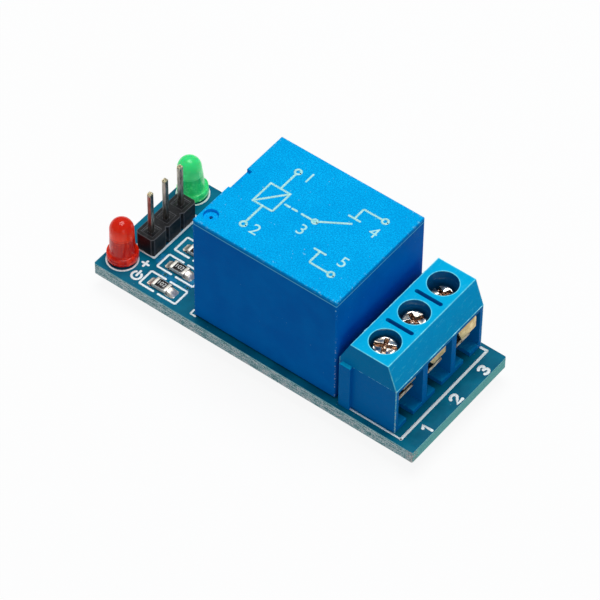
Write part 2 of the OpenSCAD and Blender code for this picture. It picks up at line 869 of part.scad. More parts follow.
module diode_body() {
    color([0.75, 0.35, 0.15])
    at_chip(diode_x, diode_y) translate([0, 0, diode_r]) rotate([0, 90, 0])
        cylinder(r = diode_r - 0.04, h = diode_l - 2 * diode_end, center = true);
}

module diode_ends() {
    color([0.8, 0.8, 0.82])
    at_chip(diode_x, diode_y) translate([0, 0, diode_r])
        for (s = [-1, 1]) translate([s * (diode_l - diode_end) / 2, 0, 0]) rotate([0, 90, 0])
            cylinder(r = diode_r, h = diode_end, center = true);
}

// Solder fillet in side view, rising to h against the part at its left
module fillet_view(l, h) {
    polygon(concat(
        [[0, -chip_lift], [l, -chip_lift]],
        [for (t = [0 : 18 : 90]) [l * (1 - sin(t)), -chip_lift + (h + chip_lift) * (1 - cos(t))]]
    ));
}

// Fillet standing at a part's end, on side s along X
module fillet(x, s, w, l, h) {
    translate([x, 0, 0]) mirror([s < 0 ? 1 : 0, 0, 0]) across(w) fillet_view(l, h);
}

module pad_solder() {
    color([0.78, 0.79, 0.8]) {
        for (y = resistor_ys) at_chip(resistor_x, y) {
            fillet(chip_l / 2, 1, chip_w, 0.9, chip_h - 0.02);
            fillet(-chip_l / 2, -1, chip_w, 0.6, 0.2);
            for (s = [-1, 1])
                bar(s * (chip_l - chip_end) / 2, 0, chip_end, chip_w, -chip_lift, 0);
        }
        at_chip(diode_x, diode_y) for (s = [-1, 1]) {
            fillet(s * diode_l / 2, s, diode_r, 0.7, diode_r);
            bar(s * (diode_l - diode_end) / 2, 0, diode_end, diode_r, -chip_lift, 0);
        }
        at_chip(transistor_x, transistor_y)
            for (lead = [[-0.95, -1], [0.95, -1], [0, 1]])
                bar(lead[0], lead[1] * (transistor_w / 2 + 0.42), 0.6, 0.5, -chip_lift, 0);
    }
}

// ---------------------------------------------------------------- nodes

board();
relay_cover();
relay_base();
relay_bobbin();
relay_coil();
relay_core();
relay_yoke();
relay_armature();
relay_blade();
relay_moving_contact();
relay_open_terminal();
relay_open_contact();
relay_closed_terminal();
relay_closed_contact();
relay_common_terminal();
relay_coil_pin(-1);  // relay_coil_pin_1
relay_coil_pin(1);  // relay_coil_pin_2
block_housing();
block_clamp(0);  // block_clamp_1
block_clamp(1);  // block_clamp_2
block_clamp(2);  // block_clamp_3
block_leaf(0);  // block_leaf_1
block_leaf(1);  // block_leaf_2
block_leaf(2);  // block_leaf_3
block_screw(0);  // block_screw_1
block_screw(1);  // block_screw_2
block_screw(2);  // block_screw_3
header_strip();
header_pin(0);  // header_pin_1
header_pin(1);  // header_pin_2
header_pin(2);  // header_pin_3
color([0.8, 0.15, 0.1]) lamp_lens(0, 0);  // red_lamp_lens
lamp_lead(0, 0, 1);  // red_lamp_anode
lamp_lead(0, 0, -1);  // red_lamp_cathode
color([0.2, 0.8, 0.45]) lamp_lens(1, green_lean);  // green_lamp_lens
lamp_lead(1, green_lean, 1);  // green_lamp_anode
lamp_lead(1, green_lean, -1);  // green_lamp_cathode
resistor(0);  // resistor_1
resistor(1);  // resistor_2
resistor(2);  // resistor_3
resistor_ends(0);  // resistor_ends_1
resistor_ends(1);  // resistor_ends_2
resistor_ends(2);  // resistor_ends_3
transistor_body();
transistor_leads();
diode_body();
diode_ends();
lead_solder();
pad_solder();
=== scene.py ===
# %% [markdown]
# # Relay module board
# A narrow circuit board carries a sealed relay, a screw terminal block, a pin header,
# two indicator lamps and the chip parts that drive the relay's coil.
# The construction comes in as a fixed frame in which every size is already right.
# What is left to do here is what the eye judges: edges, inks, metals, resin and light.

# %% Load the frame
import json
import math

import bmesh
import bpy
from mathutils import Matrix, Vector

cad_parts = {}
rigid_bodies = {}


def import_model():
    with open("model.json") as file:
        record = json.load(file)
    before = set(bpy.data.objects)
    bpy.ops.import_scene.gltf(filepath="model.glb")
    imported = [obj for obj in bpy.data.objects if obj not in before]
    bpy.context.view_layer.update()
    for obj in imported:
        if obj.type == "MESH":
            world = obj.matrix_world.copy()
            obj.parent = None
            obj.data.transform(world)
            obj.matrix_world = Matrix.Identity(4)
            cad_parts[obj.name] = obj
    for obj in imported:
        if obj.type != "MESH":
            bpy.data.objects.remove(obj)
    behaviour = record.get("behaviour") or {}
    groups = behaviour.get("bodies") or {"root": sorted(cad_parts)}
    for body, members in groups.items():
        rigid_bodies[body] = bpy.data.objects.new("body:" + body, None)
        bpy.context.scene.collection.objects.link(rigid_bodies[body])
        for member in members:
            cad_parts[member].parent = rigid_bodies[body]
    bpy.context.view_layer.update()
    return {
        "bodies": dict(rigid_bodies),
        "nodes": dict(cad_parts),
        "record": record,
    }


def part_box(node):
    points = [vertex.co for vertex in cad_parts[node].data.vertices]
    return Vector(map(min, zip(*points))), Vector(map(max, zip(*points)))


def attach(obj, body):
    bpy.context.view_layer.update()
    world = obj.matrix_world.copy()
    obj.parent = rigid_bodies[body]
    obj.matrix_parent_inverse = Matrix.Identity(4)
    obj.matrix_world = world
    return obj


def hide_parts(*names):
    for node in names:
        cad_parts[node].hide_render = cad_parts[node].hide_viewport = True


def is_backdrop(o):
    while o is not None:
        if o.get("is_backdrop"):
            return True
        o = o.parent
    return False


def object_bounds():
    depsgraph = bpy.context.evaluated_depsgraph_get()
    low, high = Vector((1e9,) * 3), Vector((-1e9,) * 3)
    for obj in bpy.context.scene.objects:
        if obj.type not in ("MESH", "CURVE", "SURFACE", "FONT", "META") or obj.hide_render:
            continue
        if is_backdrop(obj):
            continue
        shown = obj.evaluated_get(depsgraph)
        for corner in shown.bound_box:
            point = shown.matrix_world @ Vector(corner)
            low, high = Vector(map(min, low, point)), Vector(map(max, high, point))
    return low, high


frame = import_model()
MM = 0.001
print("bodies:", ", ".join(frame["bodies"]), "| nodes:", len(frame["nodes"]))


def box_mm(node):
    """A node's lowest and highest corner, in millimetres."""
    return [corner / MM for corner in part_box(node)]


def put(name, data):
    """Adds an object to the scene."""
    thing = bpy.data.objects.new(name, data)
    bpy.context.collection.objects.link(thing)
    return thing



# %% [markdown]
# ## One way to add a node
# Materials and Geometry Nodes are both trees of nodes, so one function serves both.
# It stores the settings first, because a setting can change which sockets a node has.
# Then it fills the sockets: a plain value is stored and another node's socket is linked.

# %% Add a node to a tree
def add_node(tree, kind, settings=None, inputs=None):
    node = tree.nodes.new(kind)
    for name, value in (settings or {}).items():
        if name == "stops":
            for index, (place, colour) in enumerate(value):
                stops = node.color_ramp.elements
                stop = stops[index] if index < len(stops) else stops.new(place)
                stop.position, stop.color = place, colour
        else:
            setattr(node, name, value)
    for key, value in (inputs or {}).items():
        socket = getattr(value, "socket", value)
        if isinstance(socket, bpy.types.NodeSocket):
            tree.links.new(socket, node.inputs[key])
        else:
            node.inputs[key].default_value = value
    return node


# %% [markdown]
# ## Shader maths as Python expressions
# A finish is mostly arithmetic: how near an edge a point is, how strong a stain is there.
# The class wraps a socket, so `1 - mask * 2` reads as maths and adds its own Math nodes.
# Colours go through a Mix node instead, because a Math node would turn them grey.

# %% A value that differs from point to point
def operator(name, swapped=False):
    """A method that adds one Math node for the value and, where it has one, the other."""
    return lambda self, *other: self.math(name, *(other + (self,) if swapped else (self,) + other))


class Field:
    def __init__(self, tree, socket):
        self.tree, self.socket = tree, socket

    def node(self, kind, settings=None, inputs=None, output=0):
        return Field(self.tree, add_node(self.tree, kind, settings, inputs).outputs[output])

    def math(self, operation, *values):
        return self.node("ShaderNodeMath", {"operation": operation}, dict(enumerate(values)))

    __add__ = __radd__ = operator("ADD")
    __sub__, __rsub__ = operator("SUBTRACT"), operator("SUBTRACT", swapped=True)
    __mul__ = __rmul__ = operator("MULTIPLY")
    __abs__, root = operator("ABSOLUTE"), operator("SQRT")
    least, most = operator("MINIMUM"), operator("MAXIMUM")

    def fade(self, start, end):
        """0 before start and 1 after end, with a smooth step between them."""
        inputs = {"Value": self, "From Min": start, "From Max": end}
        return self.node("ShaderNodeMapRange", {"interpolation_type": "SMOOTHSTEP"}, inputs)

    def colours(self, *stops):
        """A colour ramp over this value: pairs of a place and a colour."""
        return self.node("ShaderNodeValToRGB", {"stops": stops}, {"Fac": self})


# %% A material under construction
class Finish:
    """One material. Its places x, y and z are in millimetres, and follow the piece."""

    def __init__(self, name, **fixed):
        self.material = bpy.data.materials.new(name)
        self.material.use_nodes = True
        tree = self.tree = self.material.node_tree
        tree.nodes.clear()
        inputs = {key.replace("_", " "): value for key, value in fixed.items()}
        self.shader = add_node(tree, "ShaderNodeBsdfPrincipled", inputs=inputs)
        add_node(tree, "ShaderNodeOutputMaterial", inputs={"Surface": self.shader.outputs[0]})
        coordinates = add_node(tree, "ShaderNodeTexCoord").outputs["Object"]
        self.place = Field(tree, coordinates).node(
            "ShaderNodeVectorMath", {"operation": "SCALE"}, {"Vector": coordinates, "Scale": 1000}
        )
        self.x, self.y, self.z = self.split(self.place)

    def split(self, vector):
        parts = add_node(self.tree, "ShaderNodeSeparateXYZ", inputs={"Vector": vector})
        return [Field(self.tree, output) for output in parts.outputs]

    def noise(self, per_mm, detail=3, roughness=0.55, stretch=(1, 1, 1), shift=0):
        """Cloudy noise between 0 and 1. stretch lengthens its grains along x, y and z."""
        place = self.place.node(
            "ShaderNodeMapping",
            inputs={
                "Vector": self.place,
                "Location": (shift, shift, shift),
                "Scale": [1 / side for side in stretch],
            },
        )
        settings = {"Vector": place, "Scale": per_mm, "Detail": detail, "Roughness": roughness}
        return self.place.node("ShaderNodeTexNoise", inputs=settings)

    def mix(self, factor, low, high):
        """A colour between low and high."""
        inputs = {0: factor, 6: low, 7: high}
        return self.place.node("ShaderNodeMix", {"data_type": "RGBA"}, inputs, output=2)

    def layers(self, colour, *coats):
        """Lays coats over a first colour. Each coat is a mask and the colour it brings."""
        for mask, coat in coats:
            colour = self.mix(mask, colour, coat)
        return colour

    def facing(self):
        """The surface's own direction, as three values."""
        return self.split(add_node(self.tree, "ShaderNodeNewGeometry").outputs["True Normal"])

    def mark(self, name):
        """An attribute that the mesh carries."""
        node = add_node(self.tree, "ShaderNodeAttribute", {"attribute_name": name})
        return Field(self.tree, node.outputs["Fac"])

    def paint(self, **surface):
        """Links colour, roughness and the like. bump is a height in millimetres."""
        bump = surface.pop("bump", None)
        if bump is not None:
            height = add_node(
                self.tree, "ShaderNodeBump", inputs={"Height": bump, "Distance": MM, "Strength": 1}
            )
            self.tree.links.new(height.outputs[0], self.shader.inputs["Normal"])
        for key, value in surface.items():
            self.tree.links.new(value.socket, self.shader.inputs[key.replace("_", " ")])
        print(f"{self.material.name}: {len(self.tree.nodes)} nodes")
        return self.material


def rgb(red, green, blue):
    """A colour from 0 to 255 as a screen shows it, turned into amounts of light."""
    parts = [part / 255 for part in (red, green, blue)]
    return [p / 12.92 if p <= 0.04045 else ((p + 0.055) / 1.055) ** 2.4 for p in parts] + [1]


# %% [markdown]
# ## Softened copies of the frame's pieces
# A moulded or stamped piece never has a knife edge: light always catches a thin line there.
# A Bevel modifier could do this, but the loose triangles of the frame must be joined first.
# So the copy is joined, its flat areas are merged, and only its sharp edges are rounded.
# The new faces carry a mark of their own, so that a finish can paint a pale highlight just there.
# Each point also keeps its depth below the piece's top, for painted shade in a recess.

# %% Round the edges of a copy
def keep_flats_flat(mesh):
    """Bakes shading in which large flat faces stay flat and the small ones bend the light."""
    helper = put("helper", mesh)
    modifier = helper.modifiers.new("weights", "WEIGHTED_NORMAL")
    modifier.keep_sharp, modifier.weight = True, 80
    graph = bpy.context.evaluated_depsgraph_get()
    graph.update()
    finished = bpy.data.meshes.new_from_object(
        helper.evaluated_get(graph), preserve_all_data_layers=True, depsgraph=graph
    )
    bpy.data.objects.remove(helper)
    return finished


def finished_mesh(shape, name, scale=MM):
    """Turns a shape, drawn in millimetres, into a smooth-shaded mesh in metres."""
    shape.transform(Matrix.Scale(scale, 4))
    mesh = bpy.data.meshes.new(name)
    shape.to_mesh(mesh)
    shape.free()
    mesh.shade_smooth()
    return mesh


def place_piece(name, mesh, body, finish, replaces=()):
    """Puts a finished mesh in the scene and tells the frame what it moves with."""
    piece = put(name, mesh)
    mesh.name = name
    mesh.materials.clear()
    mesh.materials.append(finish)
    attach(piece, body)
    if replaces:
        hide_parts(*replaces)
    return piece


slot_of = {part["node"]: part["material_slot"] for part in frame["record"]["subparts"]}
body_of = {
    node: body for body, nodes in frame["record"]["behaviour"]["bodies"].items() for node in nodes
}
flat_within, sharp_from, crease_from = [math.radians(angle) for angle in (0.6, 32, 46)]


def softened(node, finish, width):
    """Stands for a CAD node, with its sharp edges rounded to a width in mm."""
    shape = bmesh.new()
    shape.from_mesh(frame["nodes"][node].data)
    shape.transform(Matrix.Scale(1 / MM, 4))
    bmesh.ops.remove_doubles(shape, verts=shape.verts, dist=1e-4)
    bmesh.ops.dissolve_limit(shape, angle_limit=flat_within, verts=shape.verts, edges=shape.edges)
    top = max(vertex.co.z for vertex in shape.verts)
    rim = shape.faces.layers.float.new("rim")
    if width:
        sharp = [
            edge
            for edge in shape.edges
            if len(edge.link_faces) == 2 and edge.calc_face_angle(0) > sharp_from
        ]
        made = bmesh.ops.bevel(
            shape, geom=sharp, offset=width, offset_type="OFFSET", segments=2,
            profile=0.5, affect="EDGES", clamp_overlap=True,
        )
        for face in made["faces"]:
            face[rim] = 1
    depth = shape.verts.layers.float.new("depth")
    for vertex in shape.verts:
        vertex[depth] = top - vertex.co.z
    mesh = finished_mesh(shape, node)
    mesh.set_sharp_from_angle(angle=crease_from)
    mesh = keep_flats_flat(mesh)
    return place_piece(node + "_dressed", mesh, body_of[node], finish, [node])


# %% [markdown]
# ## Geometry Nodes from a script
# Printed lines, tracks, rings, windings and threads all repeat one small shape.
# A node tree with named sizes makes each family, so a size can be changed in one place.
# Its result is turned into a plain mesh, because only plain meshes leave this file.

# %% A node tree that makes geometry
class Grower:
    def __init__(self, name, **inputs):
        self.tree = bpy.data.node_groups.new(name, "GeometryNodeTree")
        face = self.tree.interface
        face.new_socket("Geometry", in_out="OUTPUT", socket_type="NodeSocketGeometry")
        inputs = {"Geometry": ["Geometry"], "Finish": ["Material"], **inputs}
        for label, (kind, *value) in inputs.items():
            socket = face.new_socket(label, in_out="INPUT", socket_type="NodeSocket" + kind)
            if value:
                socket.default_value = value[0]
        self.sizes = self.tree.nodes.new("NodeGroupInput").outputs

    def node(self, kind, settings=None, inputs=None):
        """Adds a node. A geometry node's kind is given without its GeometryNode prefix."""
        kind = kind if kind.startswith("Shader") else "GeometryNode" + kind
        return add_node(self.tree, kind, settings, inputs).outputs[0]

    def math(self, operation, *values):
        return self.node("ShaderNodeMath", {"operation": operation}, dict(enumerate(values)))

    def vector(self, x=0.0, y=0.0, z=0.0):
        return self.node("ShaderNodeCombineXYZ", inputs={"X": x, "Y": y, "Z": z})

    def ring(self, points, radius):
        inputs = {"Resolution": points, "Radius": radius}
        return self.node("CurvePrimitiveCircle", inputs=inputs)

    def sweep(self, curve, profile, **more):
        """Carries a profile along a curve, and closes the ends of an open one."""
        inputs = {"Curve": curve, "Profile Curve": profile, "Fill Caps": True, **more}
        return self.node("CurveToMesh", inputs=inputs)

    def join(self, *parts):
        joined = add_node(self.tree, "GeometryNodeJoinGeometry")
        for part in parts:
            self.tree.links.new(part, joined.inputs[0])
        return joined.outputs[0]

    def finish(self, geometry):
        real = self.node("RealizeInstances", inputs={"Geometry": geometry})
        dressed = self.node(
            "SetMaterial", inputs={"Geometry": real, "Material": self.sizes["Finish"]}
        )
        add_node(self.tree, "NodeGroupOutput", inputs={"Geometry": dressed})

    def grow(self, name, body, finish, slot, start=None, replaces=(), **sizes):
        """Runs the tree on a start mesh and keeps the result as a plain piece."""
        start = start or bpy.data.meshes.new(name + "_start")
        seed = put(name + "_seed", start)
        modifier = seed.modifiers.new("grow", "NODES")
        modifier.node_group = self.tree
        values = {"Finish": finish, **sizes}
        for item in self.tree.interface.items_tree:
            if item.in_out == "INPUT" and item.name in values:
                modifier[item.identifier] = values[item.name]
        graph = bpy.context.evaluated_depsgraph_get()
        mesh = bpy.data.meshes.new_from_object(seed.evaluated_get(graph))
        seed.modifiers.remove(modifier)
        bpy.data.objects.remove(seed)
        print(f"{name}: {len(mesh.polygons)} faces")
        return place_piece(name, mesh, body, finish, replaces)


# %% Paths to start from
path_step = 0.0007 * MM


def lines_mesh(name, height, paths):
    """Paths of points in mm at a height, as a mesh of edges. A closed path repeats its start.
    Each path lies a little higher than the one before, so no two of them share a face."""
    points, edges = [], []
    for path in paths:
        height += path_step
        closed = path[0] == path[-1]
        path = path[:-1] if closed else path
        first = len(points)
        points += [(x * MM, y * MM, height) for x, y in path]
        edges += [(first + i, first + i + 1) for i in range(len(path) - 1)]
        if closed:
            edges.append((first + len(path) - 1, first))
    mesh = bpy.data.meshes.new(name)
    mesh.from_pydata(points, edges, [])
    return mesh


def arc(x, y, radius, start, end, steps=10):
    turns = [math.radians(start + (end - start) * i / steps) for i in range(steps + 1)]
    return [(x + radius * math.cos(t), y + radius * math.sin(t)) for t in turns]


def circle(x, y, radius, steps=48):
    """A closed circle: its last point is its first one again."""
    points = arc(x, y, radius, 0, 360, steps)
    return points[:-1] + points[:1]


def box_path(x0, y0, x1, y1):
    return [(x0, y0), (x1, y0), (x1, y1), (x0, y1), (x0, y0)]


# %% [markdown]
# ## Moulded blue plastic
# The relay's cover comes out of a spark-eroded mould, which leaves a fine even grain.
# Its top is painted paler and its sides a deeper blue: painted light from above and painted shade
# on the sides.
# Its corners rub against others in a bag, and pale specks show where they have touched.
# A point is near an edge where two of its distances to the box's faces are small,
# so the middle one of the three distances, sorted, tells how near it is.

# %% The relay cover's finish
cover_low, cover_high = box_mm("relay_cover")
parting_depth = 0.62  # the mould's halves meet this far below the top

cover = Finish("relay_cover_blue", Specular_IOR_Level=0.01)
from_x = (cover.x - cover_low.x).least(cover_high.x - cover.x)
from_y = (cover.y - cover_low.y).least(cover_high.y - cover.y)
from_z = cover_high.z - cover.z
middle = from_x.least(from_y).most(from_x.most(from_y).least(from_z))
top_face = cover.facing()[2].fade(0.3, 0.9)
grain = cover.noise(7, detail=2, roughness=0.6)
patches = cover.noise(0.3, shift=7)
rub = cover.noise(2.4, detail=4, roughness=0.7, shift=3).fade(0.56, 0.66)
corners = from_x.most(from_y).most(from_z).fade(5, 0.3)
worn = rub * middle.fade(0.4, 0.12) * (corners * 0.7 + 0.3)
specks = cover.noise(5, detail=1, shift=12).fade(0.56, 0.64)
upright = from_x.most(from_y).fade(0.16, 0.06)
dust = cover.noise(3.1, detail=1, shift=14).fade(0.76, 0.79)
# The mould's parting line: a real small bump, painted a pale bright blue as its highlight.
parting_highlight = abs(from_z - parting_depth).fade(0.1, 0.05) * (1 - top_face)
# Painted light: the rounded band under the top edge is painted a lighter blue than the sides.
lit_shoulder = from_z.fade(parting_depth, 0.2) * (1 - top_face)
# Painted light and shade: the sides get a deep blue, the faces that point up a pale one.
shaded_side_blue = cover.mix(patches.fade(0.3, 0.7), rgb(0, 114, 208), rgb(0, 124, 216))
lit_top_blue = cover.mix(patches.fade(0.3, 0.7), rgb(0, 180, 244), rgb(6, 190, 252))
lit_top_blue = cover.mix(grain.fade(0.35, 0.62) * 0.8, lit_top_blue, rgb(0, 138, 212))
blue = cover.layers(
    shaded_side_blue,
    (top_face, lit_top_blue),
    (lit_shoulder * 0.8, rgb(0, 160, 240)),
    (parting_highlight * 0.9, rgb(110, 215, 255)),
    (worn * 0.75 + dust * 0.4, rgb(150, 222, 240)),
    (upright * specks * from_z.fade(5, 9) * 0.7, rgb(190, 215, 235)),
)
cover_blue = cover.paint(
    Base_Color=blue, Roughness=patches * 0.08 + 0.42, bump=grain * 0.03 + parting_highlight * 0.03
)

# %% [markdown]
# ## The terminal block's plastic
# The block is a softer blue than the relay, with bright lines along its edges that are partly wear
# and partly painted highlight.
# Its outline isn't a box, so the distances are taken to the planes that meet at its edges.
# Inside the screw wells the mould was polished: only there a clear coat adds a gloss.

# %% Distances to the block's edges
block_low, block_high = box_mm("block_housing")
wells = [sum(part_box(f"block_screw_{n}"), Vector()) / 2 / MM for n in "123"]
well_radius = 1.74
back_x, front_x, slope_z = 12.46, 17.35, 10.0  # the top face's two edges, the slope's foot
side_y = -7.37  # the body's own side, under the rib that stands out from it

block = Finish("terminal_block_blue", Specular_IOR_Level=0.02)
facing_up = block.facing()[2]
top_face = facing_up.fade(0.5, 0.9)
slope = facing_up.fade(0.1, 0.3) * (1 - top_face)
slope_run, slope_fall = block_high.x - front_x, block_high.z - slope_z
slope_length = math.hypot(slope_run, slope_fall)

to_end = (block.x - block_low.x).least(block_high.x - block.x)
to_side = abs(block.y - side_y).least(block_high.y - block.y)
to_top_x = abs(block.x - back_x).least(abs(block.x - front_x))
to_top = block_high.z - block.z
to_slope = abs(
    (block.x - front_x) * (slope_fall / slope_length) - to_top * (slope_run / slope_length)
)
to_edge = to_end.most(to_side).least(to_top.most(to_top_x.least(to_side)))
to_edge = to_edge.least(to_slope.most(to_side))
to_edge = to_edge.least(abs(block.z - slope_z).most(block_high.x - block.x))
in_well = 0
for well in wells:
    out_x, out_y = block.x - well.x, block.y - well.y
    radius = (out_x * out_x + out_y * out_y).root()
    to_edge = to_edge.least(abs(radius - well_radius).most(to_top))
    in_well = radius.fade(well_radius + 0.05, well_radius - 0.05) + in_well
in_well = in_well * block.z.fade(slope_z - 0.2, slope_z) * (1 - top_face)

# %% Colours, wear and painted light of the block
flow = block.noise(0.5, shift=2)
speckle = block.noise(5, detail=2, shift=5)
chips = block.noise(1.6, detail=4, roughness=0.75, shift=9).fade(0.4, 0.6)
scuffs = block.noise(2.2, detail=5, roughness=0.75, stretch=(1, 3, 1), shift=4).fade(0.54, 0.70)
specks = block.noise(5, detail=1, shift=12).fade(0.52, 0.62)
upright = to_end.most(to_side).fade(0.16, 0.06)
# A painted reflection: a pale band part way down the wells' walls, broken up by noise.
well_reflection_band = abs(block.z - (block_high.z - 0.8 - flow * 0.6)).fade(0.07, 0.02)
# Painted light: above the slope's foot, and on the top and the slope, the blue is painted lighter
# than on the sides below.
lit_upper = block.z.fade(slope_z - 0.05, slope_z)
blue = block.layers(
    block.mix(flow, rgb(0, 120, 200), rgb(0, 130, 212)),
    (lit_upper, rgb(0, 142, 206)),
    (top_face * (lit_upper * 0.7 + 0.3), block.mix(flow, rgb(0, 174, 220), rgb(0, 188, 236))),
    (slope, block.mix(flow, rgb(0, 168, 236), rgb(0, 190, 250))),
    # Painted shade: the screw wells are painted a darker blue.
    (in_well, rgb(0, 92, 150)),
    (in_well * well_reflection_band * chips * 0.7, rgb(120, 176, 200)),
    (speckle * 0.3, rgb(0, 120, 190)),
    (scuffs * (top_face * 0.35 + slope * 0.6), rgb(70, 215, 250)),
    # Pale edge lines: partly wear, partly a painted highlight.
    (to_edge.fade(0.12, 0.04) * (chips * 0.5 + 0.5), rgb(124, 236, 255)),
    (upright * specks * 0.8, rgb(205, 228, 236)),
)
block_blue = block.paint(
    Base_Color=blue, Coat_Weight=in_well * 0.6, Roughness=flow * 0.15 + 0.3 - in_well * 0.15,
    bump=speckle * 0.012 + flow * 0.05 + scuffs * 0.01,
)

# %% [markdown]
# ## Black plastics
# The header, the relay's base and the transistor are black, though never quite black.
# A cloudy grey, painted highlights on the rims and a little dust keep their shapes readable in the
# shade.


# %% A black that isn't flat
def black_plastic(name, grey, rough):
    black = Finish(name, Specular_IOR_Level=0.22)
    cloud = black.noise(1.5, shift=4)
    dust = black.noise(8, detail=1, shift=1).fade(0.68, 0.74)
    tint = black.layers(
        black.mix(cloud, rgb(grey - 8, grey - 8, grey - 6), rgb(grey, grey, grey + 2)),
        # A painted highlight: the rounded edges are painted a paler grey.
        (black.mark("rim") * (cloud * 0.6 + 0.3), rgb(105, 106, 108)),
        (dust * 0.3, rgb(120, 120, 118)),
    )
    return black.paint(Base_Color=tint, Roughness=cloud * 0.2 + rough, bump=cloud * 0.04)


header_black = black_plastic("header_black", 30, 0.3)
base_black = black_plastic("relay_base_black", 38, 0.45)
resin_black = black_plastic("transistor_black", 36, 0.4)

# %% [markdown]
# ## Metals
# Bare metal has no colour of its own to speak of: it shows the room, broken by fine marks.
# Roughness and bump carry those marks, and a slow tint shows flux, handling and thin plating.
# One function makes them all, from two tints, the marks' direction and their strength.


# %% Metals with marks
def metal(name, low, high, rough, marks=0.01, per_mm=6, stretch=(1, 1, 1)):
    plate = Finish(name, Metallic=1.0)
    lines = plate.noise(per_mm, stretch=stretch)
    stain = plate.noise(1.3, detail=4, roughness=0.65, shift=6)
    tint = plate.mix(stain.fade(0.35, 0.65), low, high)
    # A painted highlight: the rounded edges are painted paler.
    tint = plate.mix(plate.mark("rim") * 0.35, tint, rgb(250, 246, 238))
    return plate.paint(
        Base_Color=tint, Roughness=lines * 0.2 + rough, bump=lines * marks + stain * marks
    )


clamp_brass = metal(
    "clamp_brass", rgb(196, 170, 116), rgb(232, 212, 160), 0.3, 0.015, 4, stretch=(1, 5, 1)
)
leaf_steel = metal("leaf_steel", rgb(96, 88, 76), rgb(214, 206, 188), 0.28, 0.09, 2.5)
solder_tin = metal("solder_tin", rgb(218, 209, 196), rgb(255, 248, 234), 0.28, 0.03, 2)
pad_tin = metal("pad_tin", rgb(96, 90, 96), rgb(138, 132, 134), 0.35, 0.02, 2)
tinned_end = metal("tinned_end", rgb(214, 210, 200), rgb(240, 237, 228), 0.5, 0.02, 4)
tinned_wire = metal("tinned_wire", rgb(190, 190, 188), rgb(220, 220, 217), 0.25, 0.01, 5)
soft_iron = metal("soft_iron", rgb(172, 172, 176), rgb(206, 206, 210), 0.32, 0.01, 5)
contact_silver = metal("contact_silver", rgb(220, 218, 214), rgb(243, 241, 238), 0.2, 0.01, 6)
spring_copper = metal(
    "spring_copper", rgb(203, 154, 104), rgb(230, 188, 138), 0.25, 0.01, 5, stretch=(5, 1, 1)
)
terminal_copper = metal("terminal_copper", rgb(188, 166, 124), rgb(220, 200, 158), 0.3, 0.01, 5)

# %% [markdown]
# ## Screw heads
# The heads are nickel-plated and dented by drivers; the cross is painted a darker brown, as painted
# shade and warm painted reflections in the recess.
# The depth mark finds the recess, so no painted cross has to be lined up with the real one.

# %% Nickel, dented, with painted shade in the cross
screw = Finish("screw_nickel", Metallic=1.0)
dents = screw.noise(0.8, detail=1, shift=5)
scratches = screw.noise(5, stretch=(4, 1, 1), shift=2)
recess = screw.mark("depth").fade(0.08, 0.5)
tint = screw.mix(dents.fade(0.35, 0.65), rgb(190, 178, 162), rgb(244, 240, 232))
# Painted shade and reflection: the recess is painted a duller brown than the nickel.
recess_shade_tint = screw.mix(scratches.fade(0.3, 0.7), rgb(138, 110, 98), rgb(208, 182, 160))
tint = screw.mix(recess, tint, recess_shade_tint)
screw_nickel = screw.paint(
    Base_Color=tint, Roughness=scratches * 0.2 + 0.14, bump=dents * 0.35 + scratches * 0.015
)

# %% [markdown]
# ## Header pins
# Pins are drawn wire: dull streaks run along them, and the tips keep a flash of gold.
# A fade on the height does this for all three pins at once.

# %% The pins' finish
_, pin_high = box_mm("header_pin_1")

pin = Finish("header_pin_metal", Metallic=1.0)
tip = pin.z.fade(pin_high.z - 0.55, pin_high.z - 0.15)
streak = pin.noise(5, stretch=(1, 1, 6))
tint = pin.mix(streak.fade(0.3, 0.7), rgb(128, 124, 116), rgb(196, 192, 182))
tint = pin.mix(tip, tint, rgb(238, 222, 178))
pin_metal = pin.paint(
    Base_Color=tint, Roughness=streak * 0.2 + 0.2, bump=streak * 0.01 + tip * streak * 0.25
)

# %% [markdown]
# ## The board's laminate
# Solder mask is a clear tinted lacquer, so it is glossy and shows slight clouds.
# Where the panel was snapped apart, the edge shows bundles of glass fibre as pale dashes, whose
# brightest ones are painted glints.
# The short ends were cut with a router instead: they are smoother and keep the mask's tint.

# %% The board's mask
board_low, board_high = box_mm("board")

board = Finish("board_laminate", Specular_IOR_Level=0.18)
across, _, up = board.facing()
edge = 1 - abs(up).fade(0.3, 0.7)
clouds = board.noise(0.35)
dust = board.noise(2.6, detail=1, shift=11).fade(0.77, 0.80)
mask_colour = board.mix(clouds.fade(0.3, 0.7), rgb(0, 92, 120), rgb(0, 110, 138))
mask_colour = board.mix(dust * 0.5, mask_colour, rgb(150, 200, 205))

# %% The board's cut edges
bundles = board.noise(5, detail=4, roughness=0.65, stretch=(7, 7, 1))
strands = board.noise(11, stretch=(2, 2, 1), shift=5)
weave = bundles * 0.5 + strands * 0.5
# Partly painted glints: the palest, white dashes stand for light glinting off the fibres.
fibre = weave.colours(
    (0.41, rgb(70, 134, 142)), (0.5, rgb(178, 226, 230)), (0.56, rgb(255, 255, 255))
)
smooth = weave.colours((0.3, rgb(92, 196, 196)), (0.65, rgb(142, 226, 220)))
ends = abs(across).fade(0.6, 0.8)
